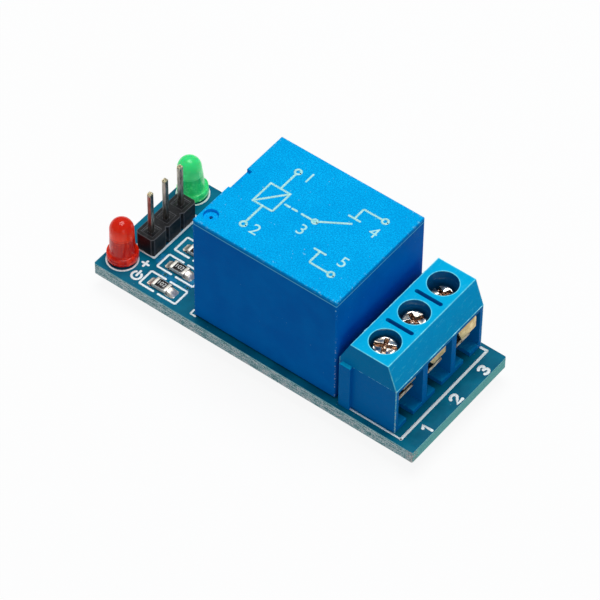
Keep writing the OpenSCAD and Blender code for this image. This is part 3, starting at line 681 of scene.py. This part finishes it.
# A painted highlight: the top of the cut edge is painted a pale band.
lip_highlight = (board_high.z - board.z).fade(0.15, 0.09)
broken = board.noise(3.2, detail=4, roughness=0.7, shift=2).fade(0.45, 0.6)
near_corner = ((board_high.x - board.x) + (board.y - board_low.y)).fade(1.1, 0.4)
chipped = (near_corner * broken).least(1)
fibre = board.layers(
    fibre, (ends, smooth), (lip_highlight * 0.85, rgb(160, 238, 246)), (chipped, rgb(255, 255, 252))
)
laminate = board.paint(
    Base_Color=board.mix(edge, mask_colour, fibre),
    Roughness=edge * 0.35 + clouds * 0.06 + 0.2,
    bump=edge * weave * 0.16 + clouds * 0.05 + edge * chipped * broken * 0.08,
)

# %% [markdown]
# ## Inks, glaze and enamel
# These thin coats vary very little, but one flat colour would still look painted on.
# So one function gives each of them a slow change between two close tints.


# %% Finishes of two close tints
def plain(name, low, high, rough, bump=0.01, per_mm=3.0, **fixed):
    coat = Finish(name, **fixed)
    cloud = coat.noise(per_mm, shift=8)
    tint = coat.mix(cloud.fade(0.3, 0.7), low, high)
    return coat.paint(Base_Color=tint, Roughness=cloud * 0.15 + rough, bump=cloud * bump)


board_ink = plain("board_ink", rgb(236, 246, 246), rgb(250, 255, 255), 0.42)
relay_ink = plain("relay_ink", rgb(150, 222, 224), rgb(192, 240, 236), 0.5)
mask_on_copper = plain(
    "mask_on_copper", rgb(0, 106, 146), rgb(0, 118, 160), 0.2, Specular_IOR_Level=0.25
)
chip_glaze = plain("chip_glaze", rgb(14, 14, 15), rgb(26, 26, 27), 0.2, Specular_IOR_Level=0.3)
chip_ink = plain("chip_ink", rgb(200, 200, 194), rgb(230, 230, 226), 0.5)
chip_ceramic = plain("chip_ceramic", rgb(196, 198, 194), rgb(226, 227, 222), 0.4)
winding_enamel = plain("winding_enamel", rgb(172, 108, 62), rgb(206, 140, 84), 0.25, Metallic=0.6)
diode_glass = plain("diode_glass", rgb(188, 104, 40), rgb(214, 134, 66), 0.1, Coat_Weight=0.5)

# %% [markdown]
# ## Dress the frame's own pieces
# Pieces whose shape is already right get their finish and softened edges here.
# The rounding widths follow the real processes: near 0.1 mm on mouldings, less on stampings.

# %% Dressed copies
dressing = (
    (laminate, 0, "board"), (cover_blue, 0.05, "relay_cover"), (spring_copper, 0.02, "relay_blade"),
    (base_black, 0.08, "relay_base relay_bobbin"), (soft_iron, 0.05, "relay_core"),
    (soft_iron, 0.08, "relay_yoke"), (soft_iron, 0.06, "relay_armature"),
    (contact_silver, 0.04, "relay_moving_contact relay_open_contact relay_closed_contact"),
    (terminal_copper, 0.05, "relay_open_terminal relay_closed_terminal relay_common_terminal"),
    (tinned_wire, 0.06, "relay_coil_pin_1 relay_coil_pin_2"), (block_blue, 0.09, "block_housing"),
    (header_black, 0.07, "header_strip"), (resin_black, 0.05, "transistor_body"),
    (tinned_end, 0.02, "transistor_leads"), (diode_glass, 0.05, "diode_body"),
    (tinned_end, 0.08, "diode_ends"), (solder_tin, 0, "lead_solder"),
    (clamp_brass, 0.05, "block_clamp_1 block_clamp_2 block_clamp_3"),
    (leaf_steel, 0.04, "block_leaf_1 block_leaf_2 block_leaf_3"),
    (screw_nickel, 0.05, "block_screw_1 block_screw_2 block_screw_3"),
    (pin_metal, 0.03, "header_pin_1 header_pin_2 header_pin_3"),
    (chip_ceramic, 0.03, "resistor_1 resistor_2 resistor_3"),
    (tinned_end, 0.06, "resistor_ends_1 resistor_ends_2 resistor_ends_3"),
    (tinned_wire, 0.03, "red_lamp_anode red_lamp_cathode green_lamp_anode green_lamp_cathode"),
)
copies = [
    softened(node, finish, width) for finish, width, nodes in dressing for node in nodes.split()
]
print(len(copies), "dressed copies")

# %% [markdown]
# ## Printed lines
# The white legend is screen-printed ink, a few hundredths of a millimetre thick.
# A flat curve could show it, but ink with a real thickness also works in the exported model.
# The tree sweeps a thin rectangle along each path and closes open ends with a round dot.

# %% The line printer
line_printer = Grower(
    "printed_lines", Width=("Float", 0.2 * MM), Thickness=("Float", 0.03 * MM),
    Corner=("Float", 0.1 * MM),
)
sizes = line_printer.sizes
curve = line_printer.node("MeshToCurve", inputs={"Mesh": sizes["Geometry"]})
rounded = line_printer.node("FilletCurve", inputs={"Curve": curve, "Radius": sizes["Corner"]})
level = line_printer.node("SetCurveNormal", {"mode": "Z_UP"}, {"Curve": rounded})
section = line_printer.node(
    "CurvePrimitiveQuadrilateral",
    inputs={"Width": sizes["Width"], "Height": sizes["Thickness"]},
)
ribbon = line_printer.sweep(level, section)
dot = line_printer.node(
    "MeshCylinder",
    inputs={
        "Vertices": 12,
        "Radius": line_printer.math("MULTIPLY", sizes["Width"], 0.5),
        "Depth": line_printer.math("MULTIPLY", sizes["Thickness"], 1.1),
    },
)
ends = line_printer.node("CurveEndpointSelection")
dots = line_printer.node(
    "InstanceOnPoints", inputs={"Points": curve, "Selection": ends, "Instance": dot}
)
line_printer.finish(line_printer.join(ribbon, dots))

ink, thin = 0.015, 0.008  # half the thickness of ink, and of a track under its mask, in mm


def print_lines(name, height, paths, width, corner=0.0, half=ink, finish=board_ink,
                slot="laminate"):
    """Prints paths at a height. All sizes are in millimetres, half is half the thickness."""
    line_printer.grow(
        name, "module", finish, slot, start=lines_mesh(name + "_paths", height * MM, paths),
        Width=width * MM, Corner=corner * MM, Thickness=2 * half * MM,
    )


# %% The board's legend


def chip_frame(x0, y0, x1, y1, gap=0.35):
    """Two brackets round a chip, open in the middle of the long sides."""
    middle = (x0 + x1) / 2 - 0.2
    return [
        [(middle - gap, y0), (x0, y0), (x0, y1), (middle - gap, y1)],
        [(middle + gap, y0), (x1, y0), (x1, y1), (middle + gap, y1)],
    ]


legends = {
    "chips": (0.27, 0.1, [
        *chip_frame(-15.9, -7.62, -10.9, -5.43), *chip_frame(-15.9, -4.53, -10.9, -2.37),
        *chip_frame(-15.9, -1.48, -10.9, 0.79), *chip_frame(-15.4, 5.1, -10.3, 7.1),
        [(-15.7, 2.2), (-15.7, 4.3)], [(-12.1, 2.2), (-12.1, 4.3)],
        [(-17.5, -5.04), (-16.68, -5.04)], [(-17.09, -5.45), (-17.09, -4.63)],
    ]),
    "header": (0.27, 0.05, [box_path(-19.6, -3.82, -16.87, 3.82)]),
    "block": (0.34, 0.05, [[(19.5, -7.63), (19.5, 7.8), (18.7, 7.75)]]),
    "corners": (0.23, 0.05, [
        [(12.83, -7.62), (19.5, -7.63)],
        [(-8.76, -7.0), (-8.76, -7.62), (-8.1, -7.62)],
        [(-8.76, 7.2), (-8.76, 7.82), (-8.1, 7.82)],
    ]),
    "lamps": (0.22, 0.0, [circle(-19.52, -6.05, 1.74), circle(-19.58, 6.3, 1.82)]),
    "power": (0.28, 0.0, [
        arc(-16.8, -6.95, 0.56, 130, 410, 20), [(-16.8, -6.95), (-16.8, -6.2)],
    ]),
}
for name, (width, corner, paths) in legends.items():
    print_lines("board_legend_" + name, board_high.z + ink, paths, width, corner)

# %% The terminals' numbers, drawn as strokes in a unit box
terminal_rows = (-4.75, 0.33, 5.41)
digit_foot, digit_height, digit_width = 21.35, 1.15, 1.6
strokes = {
    "1": [[(0.12, 0.78), (0.35, 1), (0.35, 0)]],
    "2": [arc(0.3, 0.72, 0.28, 170, -40) + [(0.02, 0), (0.6, 0)]],
    "3": [arc(0.28, 0.76, 0.24, 150, -90), arc(0.28, 0.26, 0.26, 90, -150)],
}
paths = [
    [(digit_foot - digit_height * v, y + digit_width * (u - 0.3)) for u, v in stroke]
    for digit, y in zip("123", terminal_rows)
    for stroke in strokes[digit]
]
print_lines("terminal_numbers", board_high.z + ink, paths, 0.36)

# %% [markdown]
# ## Copper under the mask
# Tracks show through solder mask as slightly raised, lighter lines.
# They come off the same line printer, only wider and thinner, on both faces of the board.
# On the underside wide tracks join the relay's contacts to the terminal block.

# %% Tracks and rings
top_tracks = [
    [(-16.25, -3.8), (-16.25, -2.9)], [(-13.9, -5.0), (-13.1, -5.1)],
    [(-11.3, -4.45), (-11.3, -3.6)], [(-10.4, 1.1), (-10.4, -0.4), (-11.4, -0.44)],
    [(-16.2, 2.9), (-16.2, 4.2), (-15.2, 6.0)],
]
vias = [(-14.4, -4.92), (-11.3, -4.92), (-10.4, 1.6), (-16.2, 2.4)]
rings = [circle(x, y, 0.34, 24) for x, y in vias]
power_tracks = [
    [(-6.35, 0.1), (-2.5, 0.1), (4.5, 0.33), (15.0, 0.33)],
    [(7.9, -5.9), (11.0, -5.9), (15.0, -4.75)], [(7.9, 6.1), (11.0, 6.1), (15.0, 5.41)],
]
thin_tracks = [
    [(-18.25, 0), (-12.0, 0), (-10.4, 1.6)], [(-18.25, 2.54), (-16.2, 2.4)],
    [(-19.65, -4.55), (-18.25, -2.54)], [(-19.65, -7.09), (-14.4, -7.09), (-14.4, -4.92)],
    [(-11.3, -4.92), (-8.6, -5.9), (-4.3, -5.9)], [(-19.65, 5.18), (-18.25, 2.54)],
    [(-19.65, 7.72), (-17.5, 7.2), (-6.0, 7.2), (-4.3, 6.1)],
]
for name, height, paths, width, corner in (
    ("top_tracks", board_high.z + thin, top_tracks, 0.75, 0),
    ("top_rings", board_high.z + 1.2 * thin, rings, 0.22, 0),
    ("bottom_rings", board_low.z - 1.2 * thin, rings, 0.22, 0),
    ("bottom_power_tracks", board_low.z - thin, power_tracks, 2.2, 1.2),
    ("bottom_thin_tracks", board_low.z - thin, thin_tracks, 0.6, 1.2),
):
    print_lines(name, height, paths, width, corner, thin, mask_on_copper)

# %% [markdown]
# ## Numbers
# Plain numbers name the relay's pins and the chips' values.
# String to Curves turns a text into outlines, which are filled and given the ink's thickness.
# The text, its size and its place are inputs, so one tree prints every number.

# %% The number stamp
stamp = Grower(
    "numbers", Text=("String", "1"), Size=("Float", 1 * MM), Thickness=("Float", 0.02 * MM),
    Place=("Vector", (0, 0, 0)),
)
sizes = stamp.sizes
outline = stamp.node(
    "StringToCurves", {"align_x": "CENTER", "align_y": "MIDDLE"},
    {"String": sizes["Text"], "Size": sizes["Size"]},
)
outline = stamp.node("RealizeInstances", inputs={"Geometry": outline})
filled = stamp.node("FillCurve", inputs={"Curve": outline})
raised = stamp.node(
    "ExtrudeMesh",
    inputs={"Mesh": filled, "Offset Scale": sizes["Thickness"], "Individual": False},
)
under = stamp.node("FlipFaces", inputs={"Mesh": filled})
closed = stamp.join(raised, under)
welded = stamp.node("MergeByDistance", inputs={"Geometry": closed, "Distance": 1e-6})
stamp.finish(stamp.node(
    "Transform", inputs={"Geometry": welded, "Translation": sizes["Place"]}
))


def number(name, text, size, x, y, z, finish, slot):
    place = (x * MM, y * MM, z * MM)
    stamp.grow(name, "module", finish, slot, Text=text, Size=size * MM, Place=place)


# %% [markdown]
# ## The relay's wiring diagram
# A relay's lid usually shows how its pins are wired: a coil, and a contact that changes over.
# It is pad-printed in pale ink, so it is drawn with the same tools as the board's legend.

# %% Draw the diagram
diagram = [
    box_path(-5.0, -1.5, -2.4, 1.6), [(-5.0, -1.5), (-2.4, 1.6)],
    [(-3.7, 1.6), (-3.7, 4.3)], [(-3.7, -1.5), (-3.7, -4.4)],
    [(0.3, 0.1), (2.0, 0.1), (5.2, 2.2)],
    [(5.0, 3.0), (5.0, 4.65), (7.45, 4.65)], [(5.0, -2.9), (5.0, -4.75), (7.45, -4.75)],
    [(5.7, 3.0), (4.3, 3.0)], [(5.7, -2.9), (4.3, -2.9)],
    [(-1.9, 0.1), (-1.35, 0.1)], [(-0.95, 0.1), (-0.4, 0.1)],
    circle(-3.7, 4.65, 0.35, 20), circle(-3.7, -4.75, 0.35, 20), circle(2.0, 0.1, 0.3, 20),
    circle(7.8, 4.65, 0.35, 20), circle(7.8, -4.75, 0.35, 20),
]
print_lines(
    "relay_diagram", cover_high.z, diagram, 0.26, 0.1, finish=relay_ink, slot="relay_case"
)
for k, (x, y) in enumerate([(-2.2, 4.6), (-2.2, -4.7), (1.6, -1.7), (7.8, 2.6), (7.8, -2.7)], 1):
    number(f"relay_number_{k}", str(k), 2.1, x, y, cover_high.z, relay_ink, "relay_case")

# %% [markdown]
# ## Lamps
# A lamp is a drop of tinted resin cast round its lead frame.
# It is turned as a smooth surface of revolution, with the flat that marks one leg.
# Each point keeps its height on the lamp, because the finish needs it on a leaning lamp too.
# Real resin gathers light from all round: scattering below the skin shows this, helped by a painted
# glow and painted highlights in the resin's colour.


# %% Turn a profile
def turned(name, profile, steps=64):
    """A surface of revolution about z, in mm, closed where the profile meets the axis."""
    shape = bmesh.new()
    rings = []
    for radius, height in profile:
        if radius < 1e-6:
            rings.append([shape.verts.new((0, 0, height))])
        else:
            outline = circle(0, 0, radius, steps)[:-1]
            rings.append([shape.verts.new((x, y, height)) for x, y in outline])
    for low, high in zip(rings, rings[1:]):
        for i in range(steps):
            pairs = [(low, i), (low, i + 1), (high, i + 1), (high, i)]
            corners = [ring[k % len(ring)] for ring, k in pairs]
            shape.faces.new(list(dict.fromkeys(corners)))
    bmesh.ops.recalc_face_normals(shape, faces=shape.faces)
    return finished_mesh(shape, name, scale=1)


# %% The lamps' resin
def resin(name, deep, pale):
    """Tinted resin: pale where the dome gathers light, deep below the metal cup inside."""
    # The emission is a faint painted glow, for the light that the resin gathers from all round.
    skin = Finish(
        name, IOR=1.5, Transmission_Weight=0.2, Specular_IOR_Level=0.2, Coat_Weight=0.03,
        Subsurface_Weight=0.6, Subsurface_Scale=0.0012, Emission_Strength=0.28,
    )
    cloud = skin.noise(0.8, shift=3)
    sheen_streaks = skin.noise(1.3, detail=2, stretch=(1, 1, 5), shift=8).fade(0.42, 0.62)
    height = skin.mark("height")
    cup = (height + cloud * 0.5).fade(4.0, 4.25)
    glow = height.fade(6.0, 4.0) * cup
    lip_highlight = abs(height + cloud * 0.5 - 4.0).fade(0.14, 0.04)
    glints = skin.noise(1.6, roughness=0.7, shift=21).fade(0.52, 0.62)
    foot = height.fade(1.5, 1.0)
    tint = skin.layers(
        deep,
        # Painted glow: the resin above the cup is painted pale, palest just above the cup's edge.
        (cup * 0.2 + glow * 0.7, pale),
        # Painted sheen: pale vertical streaks on the lower body.
        (sheen_streaks * (1 - cup) * (foot * 0.35 + 0.25), pale),
        # Painted highlights: a pale line at the cup's edge and glints below it.
        (lip_highlight * 0.7 + glints * (1 - cup) * 0.4, pale),
        # A painted highlight: near-white patches low on the rim.
        (cloud.fade(0.62, 0.7) * foot * 0.5, rgb(255, 235, 225)),
    )
    return skin.paint(
        Base_Color=tint, Emission_Color=tint, Roughness=cloud * 0.12 + 0.08, bump=cloud * 0.06
    )


red_resin = resin("red_resin", rgb(180, 16, 6), rgb(248, 60, 20))
green_resin = resin("green_resin", rgb(44, 204, 116), rgb(96, 252, 156))

# %% A lamp's profile, from the rim's foot to the dome's top
body_radius, dome_radius, rim_radius, rim_flat = 1.45, 1.37, 1.78, -1.6
rim_base, rim_top, dome_top, fillet_size = 0.25, 1.25, 6.0, 0.12
dome_base, body_base = dome_top - dome_radius, rim_top + fillet_size
skin_profile = (
    [(0, rim_base), (rim_radius - fillet_size, rim_base), (rim_radius, rim_base + fillet_size)]
    + [(rim_radius, rim_top - 0.15), (rim_radius - 0.04, rim_top - 0.05)]
    + [(rim_radius - 0.14, rim_top), (body_radius + 0.08, rim_top + 0.02)]
    + [(body_radius, body_base)]
    + [
        (body_radius - (body_radius - dome_radius) * i / 12,
         body_base + (dome_base - body_base) * i / 12)
        for i in range(1, 12)
    ]
    + [
        (dome_radius * math.cos(t), dome_base + dome_radius * math.sin(t))
        for t in [math.radians(90 * i / 14) for i in range(14)]
    ]
    + [(0, dome_top)]
)


# %% Stand the lamps up
lamp_x = -19.65


def lamp_place(centre_y, lean):
    """Where a lamp stands: on the board, leaning towards -Y, with the flat towards +Y."""
    stand = Matrix.Translation((lamp_x * MM, centre_y * MM, board_high.z * MM))
    tilt = Matrix.Rotation(math.radians(lean), 4, "X")
    return stand @ tilt @ Matrix.Rotation(math.radians(-90), 4, "Z") @ Matrix.Scale(MM, 4)


for colour, centre_y, lean, finish in (
    ("red", -5.82, 0, red_resin), ("green", 6.45, 7, green_resin)
):
    skin = turned(colour + "_skin", skin_profile)
    heights = skin.attributes.new("height", "FLOAT", "POINT").data
    for vertex, height in zip(skin.vertices, heights):
        vertex.co.x = max(vertex.co.x, rim_flat)
        height.value = vertex.co.z
    skin.transform(lamp_place(centre_y, lean))
    skin.set_sharp_from_angle(angle=math.radians(50))
    node = colour + "_lamp_lens"
    place_piece(node + "_skin", skin, "module", finish, [node])

# %% [markdown]
# ## Chip resistors
# Each chip is a ceramic tablet with tinned ends, a black glaze and a printed value.
# The glaze is a low pillow: it is made as a small grid whose height falls off at its sides.

# %% Glaze and values
chip_rows = (-6.6, -3.52, -0.44)
for n, y in zip("123", chip_rows):
    low, high = box_mm("resistor_" + n)
    shape = bmesh.new()
    bmesh.ops.create_grid(shape, x_segments=10, y_segments=10, size=1)
    for vertex in shape.verts:
        u, v = vertex.co.x, vertex.co.y
        pillow = (1 - u ** 8) * (1 - v ** 8)
        vertex.co = (
            (low.x + high.x) / 2 + u * 0.6,
            (low.y + high.y) / 2 + v * 0.58,
            high.z - 0.005 + 0.04 * pillow,
        )
    glaze = finished_mesh(shape, "glaze")
    place_piece("resistor_glaze_" + n, glaze, "module", chip_glaze)
    number("resistor_value_" + n, "102", 0.76, -13.55, y, high.z + 0.035, chip_ink, "chip_body")

# %% [markdown]
# ## Solder at the chips
# Molten solder wets the pad and climbs the chip's end, then freezes as a shiny hollow slope.
# The right-hand pads got too much of it, so there it stands as a rounded blob instead.


# %% Fillets as draped grids
def fillet(shape, x, y, side, length, width, height, fullness, steps=10):
    """A slope from a chip's end at x to the board, curved in by 1 - fullness."""
    rows = []
    for i in range(steps + 1):
        along = i / steps
        row = []
        for j in range(steps + 1):
            across = 2 * j / steps - 1
            slope = (1 - along) ** (2 - fullness) if along < 1 else 0
            bulge = fullness * 0.5 * math.sin(math.pi * along)
            round_off = 1 - abs(across) ** (3 + 3 * fullness)
            spread = width / 2 * (1 - 0.35 * along ** 3)
            row.append(shape.verts.new((
                x + side * along * length,
                y + across * spread,
                board_high.z + 0.005 + (slope + bulge) * height * round_off,
            )))
        rows.append(row)
    for low, high in zip(rows, rows[1:]):
        for j in range(steps):
            shape.faces.new((low[j], low[j + 1], high[j + 1], high[j]))


shape = bmesh.new()
for y in chip_rows:
    fillet(shape, -12.6, y, 1, 1.05, 1.35, 0.5, 0.6)
    fillet(shape, -14.5, y, -1, 0.75, 1.3, 0.2, 0.1)
for side in (-1, 1):
    fillet(shape, -12.9 + side * 1.7, 6.1, side, 0.8, 1.2, 0.8, 0.3)
bmesh.ops.recalc_face_normals(shape, faces=shape.faces)
for face in shape.faces:
    if face.normal.z < 0:
        face.normal_flip()
place_piece("chip_solder", finished_mesh(shape, "fillets"), "module", solder_tin)
pads = frame["nodes"]["pad_solder"]
pads.material_slots[0].link = "OBJECT"
pads.material_slots[0].material = pad_tin

# %% [markdown]
# ## The coil's winding
# The coil is one thin enamelled wire in neat rows.
# Geometry Nodes stack rings up the coil, since a true helix would look the same here
# and rings close on themselves without a seam.

# %% Wind the coil
winder = Grower(
    "winding", Rings=("Int", 24), Bottom=("Float", 0.0), Height=("Float", 1.0),
    Radius=("Float", 1.0), Wire=("Float", 0.1), Belly=("Float", 0.0),
)
sizes = winder.sizes
torus = winder.sweep(winder.ring(40, sizes["Radius"]), winder.ring(6, sizes["Wire"]))
gap = winder.math("SUBTRACT", sizes["Rings"], 1)
step = winder.math("DIVIDE", sizes["Height"], gap)
stack = winder.node(
    "MeshLine",
    inputs={"Count": sizes["Rings"], "Start Location": winder.vector(z=sizes["Bottom"]),
            "Offset": winder.vector(z=step)},
)
share = winder.math("DIVIDE", winder.node("InputIndex"), gap)
belly = winder.math("SINE", winder.math("MULTIPLY", share, math.pi))
belly = winder.math("MULTIPLY_ADD", belly, sizes["Belly"], 1.0)
winder.finish(winder.node(
    "InstanceOnPoints",
    inputs={"Points": stack, "Instance": torus, "Scale": winder.vector(belly, belly, 1.0)},
))

coil_low, coil_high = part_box("relay_coil")
coil_radius = (coil_high.x - coil_low.x) / 2
coil_axis = Vector((coil_low.x + coil_high.x, coil_low.y + coil_high.y, 0)) / 2
coil_gap = 0.12 * MM  # between the winding and each flange
coil = winder.grow(
    "relay_winding", "module", winding_enamel, "winding", replaces=["relay_coil"],
    Rings=34, Bottom=coil_low.z + coil_gap, Height=coil_high.z - coil_low.z - 2 * coil_gap,
    Radius=coil_radius * 0.955, Wire=0.085 * MM, Belly=0.03,
)
coil.data.transform(Matrix.Translation(coil_axis))
coil.data.shade_smooth()

# %% [markdown]
# ## Screw threads
# Most of each screw's thread hides in its clamp, and shows when the block is taken off.
# A spiral curve carries a small ridge up the shaft, and one tree serves the three screws.
# The ridge rides with its screw, so it turns and sinks with it.

# %% Cut the threads
threader = Grower(
    "thread", Turns=("Float", 8.0), Height=("Float", 1.0), Radius=("Float", 1.0),
    Ridge=("Float", 0.1), Place=("Vector", (0, 0, 0)),
)
sizes = threader.sizes
spiral = threader.node(
    "CurveSpiral",
    inputs={
        "Resolution": 28, "Rotations": sizes["Turns"], "Height": sizes["Height"],
        "Start Radius": sizes["Radius"], "End Radius": sizes["Radius"],
    },
)
thread = threader.sweep(spiral, threader.ring(4, sizes["Ridge"]))
threader.finish(threader.node(
    "Transform", inputs={"Geometry": thread, "Translation": sizes["Place"]}
))
pitch, turns = 0.45 * MM, 8
for n in "123":
    node = "block_screw_" + n
    low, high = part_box(node)
    middle = (low + high) / 2
    threader.grow(
        f"screw_{n}_thread", body_of[node], screw_nickel, slot_of[node],
        Turns=float(turns), Height=turns * pitch, Radius=1.225 * MM, Ridge=0.055 * MM,
        Place=(middle.x, middle.y, low.z + pitch),
    )

# %% [markdown]
# ## Moulding flash
# Where the two halves of a mould meet, a little plastic escapes and leaves a rough bead.
# On the terminal block it runs along the foot of the sloping face and catches the light: its pale
# colour is a painted highlight.
# The bead's thickness follows a noise, so no two stretches of it look alike.

# %% Grow the flash
flasher = Grower(
    "flash", Thickness=("Float", 0.05 * MM), Spacing=("Float", 0.12 * MM),
    Clumps=("Float", 900.0),
)
sizes = flasher.sizes
seam = flasher.node("MeshToCurve", inputs={"Mesh": sizes["Geometry"]})
seam = flasher.node(
    "ResampleCurve", {"mode": "LENGTH"}, {"Curve": seam, "Length": sizes["Spacing"]}
)
clumps = flasher.node(
    "ShaderNodeTexNoise",
    inputs={"Vector": flasher.node("InputPosition"), "Scale": sizes["Clumps"],
            "Detail": 3.0, "Roughness": 0.7},
)
swell = flasher.node(
    "ShaderNodeMapRange",
    inputs={"Value": clumps, "From Min": 0.42, "From Max": 0.72, "To Min": 0.45, "To Max": 2.0},
)
thickness = flasher.math("MULTIPLY", swell, sizes["Thickness"])
flasher.finish(flasher.sweep(seam, flasher.ring(8, 1.0), Scale=thickness))


def seam_mesh(name, start, end):
    mesh = bpy.data.meshes.new(name)
    mesh.from_pydata([Vector(start) * MM, Vector(end) * MM], [(0, 1)], [])
    return mesh


# %% Flash along the block's seams and gates
face_x, near_y, far_y = block_high.x - 0.02, side_y + 0.02, block_high.y - 0.02
# The flash is real plastic, painted a pale blue as its highlight.
flash_highlight_blue = plain("flash_highlight_blue", rgb(60, 206, 240), rgb(170, 244, 255), 0.35)
for name, thickness, points in (
    ("slope", 0.055, [(face_x, near_y, slope_z), (face_x, far_y, slope_z)]),
    ("side", 0.032, [(12.9, near_y, slope_z - 0.03), (face_x, near_y, slope_z - 0.03)]),
    *[(f"gate_{k}", 0.08, [(back_x, well.y - 0.25, block_high.z - 0.06),
                           (back_x, well.y + 0.25, block_high.z - 0.06)])
      for k, well in enumerate(wells, 1)],
    ("back", 0.03, [(back_x, near_y, block_high.z - 0.02), (back_x, far_y, block_high.z - 0.02)]),
):
    flasher.grow(
        "block_flash_" + name, "module", flash_highlight_blue, slot_of["block_housing"],
        start=seam_mesh(name, *points), Thickness=thickness * MM,
    )

# %% [markdown]
# ## Camera and light
# The camera looks down on the near corner through a long lens, so edges stay nearly parallel.
# One large soft light hangs over the board and makes the tops bright and the sides deep.
# The floor is plain: the camera sees it white, and it still catches a faint shadow.

# %% Camera
eye = Vector((0.162802, -0.214040, 0.312575))
right = Vector((0.791134, 0.611597, 0.007484)).normalized()
forward = Vector((-0.398056, 0.524120, -0.752895)).normalized()
up = right.cross(forward)
camera_data = bpy.data.cameras.new("camera")
camera = put("camera", camera_data)
camera.matrix_world = Matrix.Translation(eye) @ Matrix((right, up, -forward)).transposed().to_4x4()
camera_data.sensor_fit = "HORIZONTAL"
camera_data.angle = math.radians(9.0216)
camera_data.clip_start, camera_data.clip_end = 0.01, 10
bpy.context.scene.camera = camera


# %% Lights
def soft_light(name, place, size, power):
    """A round soft light that faces the board."""
    data = bpy.data.lights.new(name, "AREA")
    data.shape, data.size, data.energy = "DISK", size, power
    light = put(name, data)
    light.location = place
    light.rotation_euler = Vector(place).to_track_quat("Z", "Y").to_euler()


soft_light("overhead", (-0.05, 0.08, 0.50), 0.34, 2.1)
soft_light("front_fill", (0.45, -0.25, 0.18), 0.25, 0.3)

world = bpy.data.worlds.new("studio")
bpy.context.scene.world = world
world.use_nodes = True
sky = world.node_tree.nodes["Background"].inputs
sky["Color"].default_value, sky["Strength"].default_value = rgb(236, 247, 255), 0.25

# %% Floor
floor_mesh = bpy.data.meshes.new("floor")
floor_mesh.from_pydata([(-2, -2, 0), (2, -2, 0), (2, 2, 0), (-2, 2, 0)], [], [(0, 1, 2, 3)])
floor = put("floor", floor_mesh)
floor_finish = bpy.data.materials.new("floor_white")
floor_finish.use_nodes = True
tree = floor_finish.node_tree
tree.nodes.clear()
matt = add_node(tree, "ShaderNodeBsdfDiffuse", inputs={"Color": rgb(174, 174, 174)})
white = add_node(tree, "ShaderNodeEmission", inputs={"Color": rgb(255, 255, 255), "Strength": 1.11})
rays = add_node(tree, "ShaderNodeLightPath").outputs
seen = Field(tree, rays["Is Camera Ray"]).most(Field(tree, rays["Is Glossy Ray"]))
seen = seen.most(Field(tree, rays["Is Transmission Ray"])) * 0.82
shade = add_node(
    tree, "ShaderNodeMixShader", inputs={0: seen, 1: matt.outputs[0], 2: white.outputs[0]}
)
add_node(tree, "ShaderNodeOutputMaterial", inputs={"Surface": shade.outputs[0]})
floor_mesh.materials.append(floor_finish)
floor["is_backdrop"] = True
bpy.context.scene.view_settings.view_transform = "Standard"

# %% Finish
low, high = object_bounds()
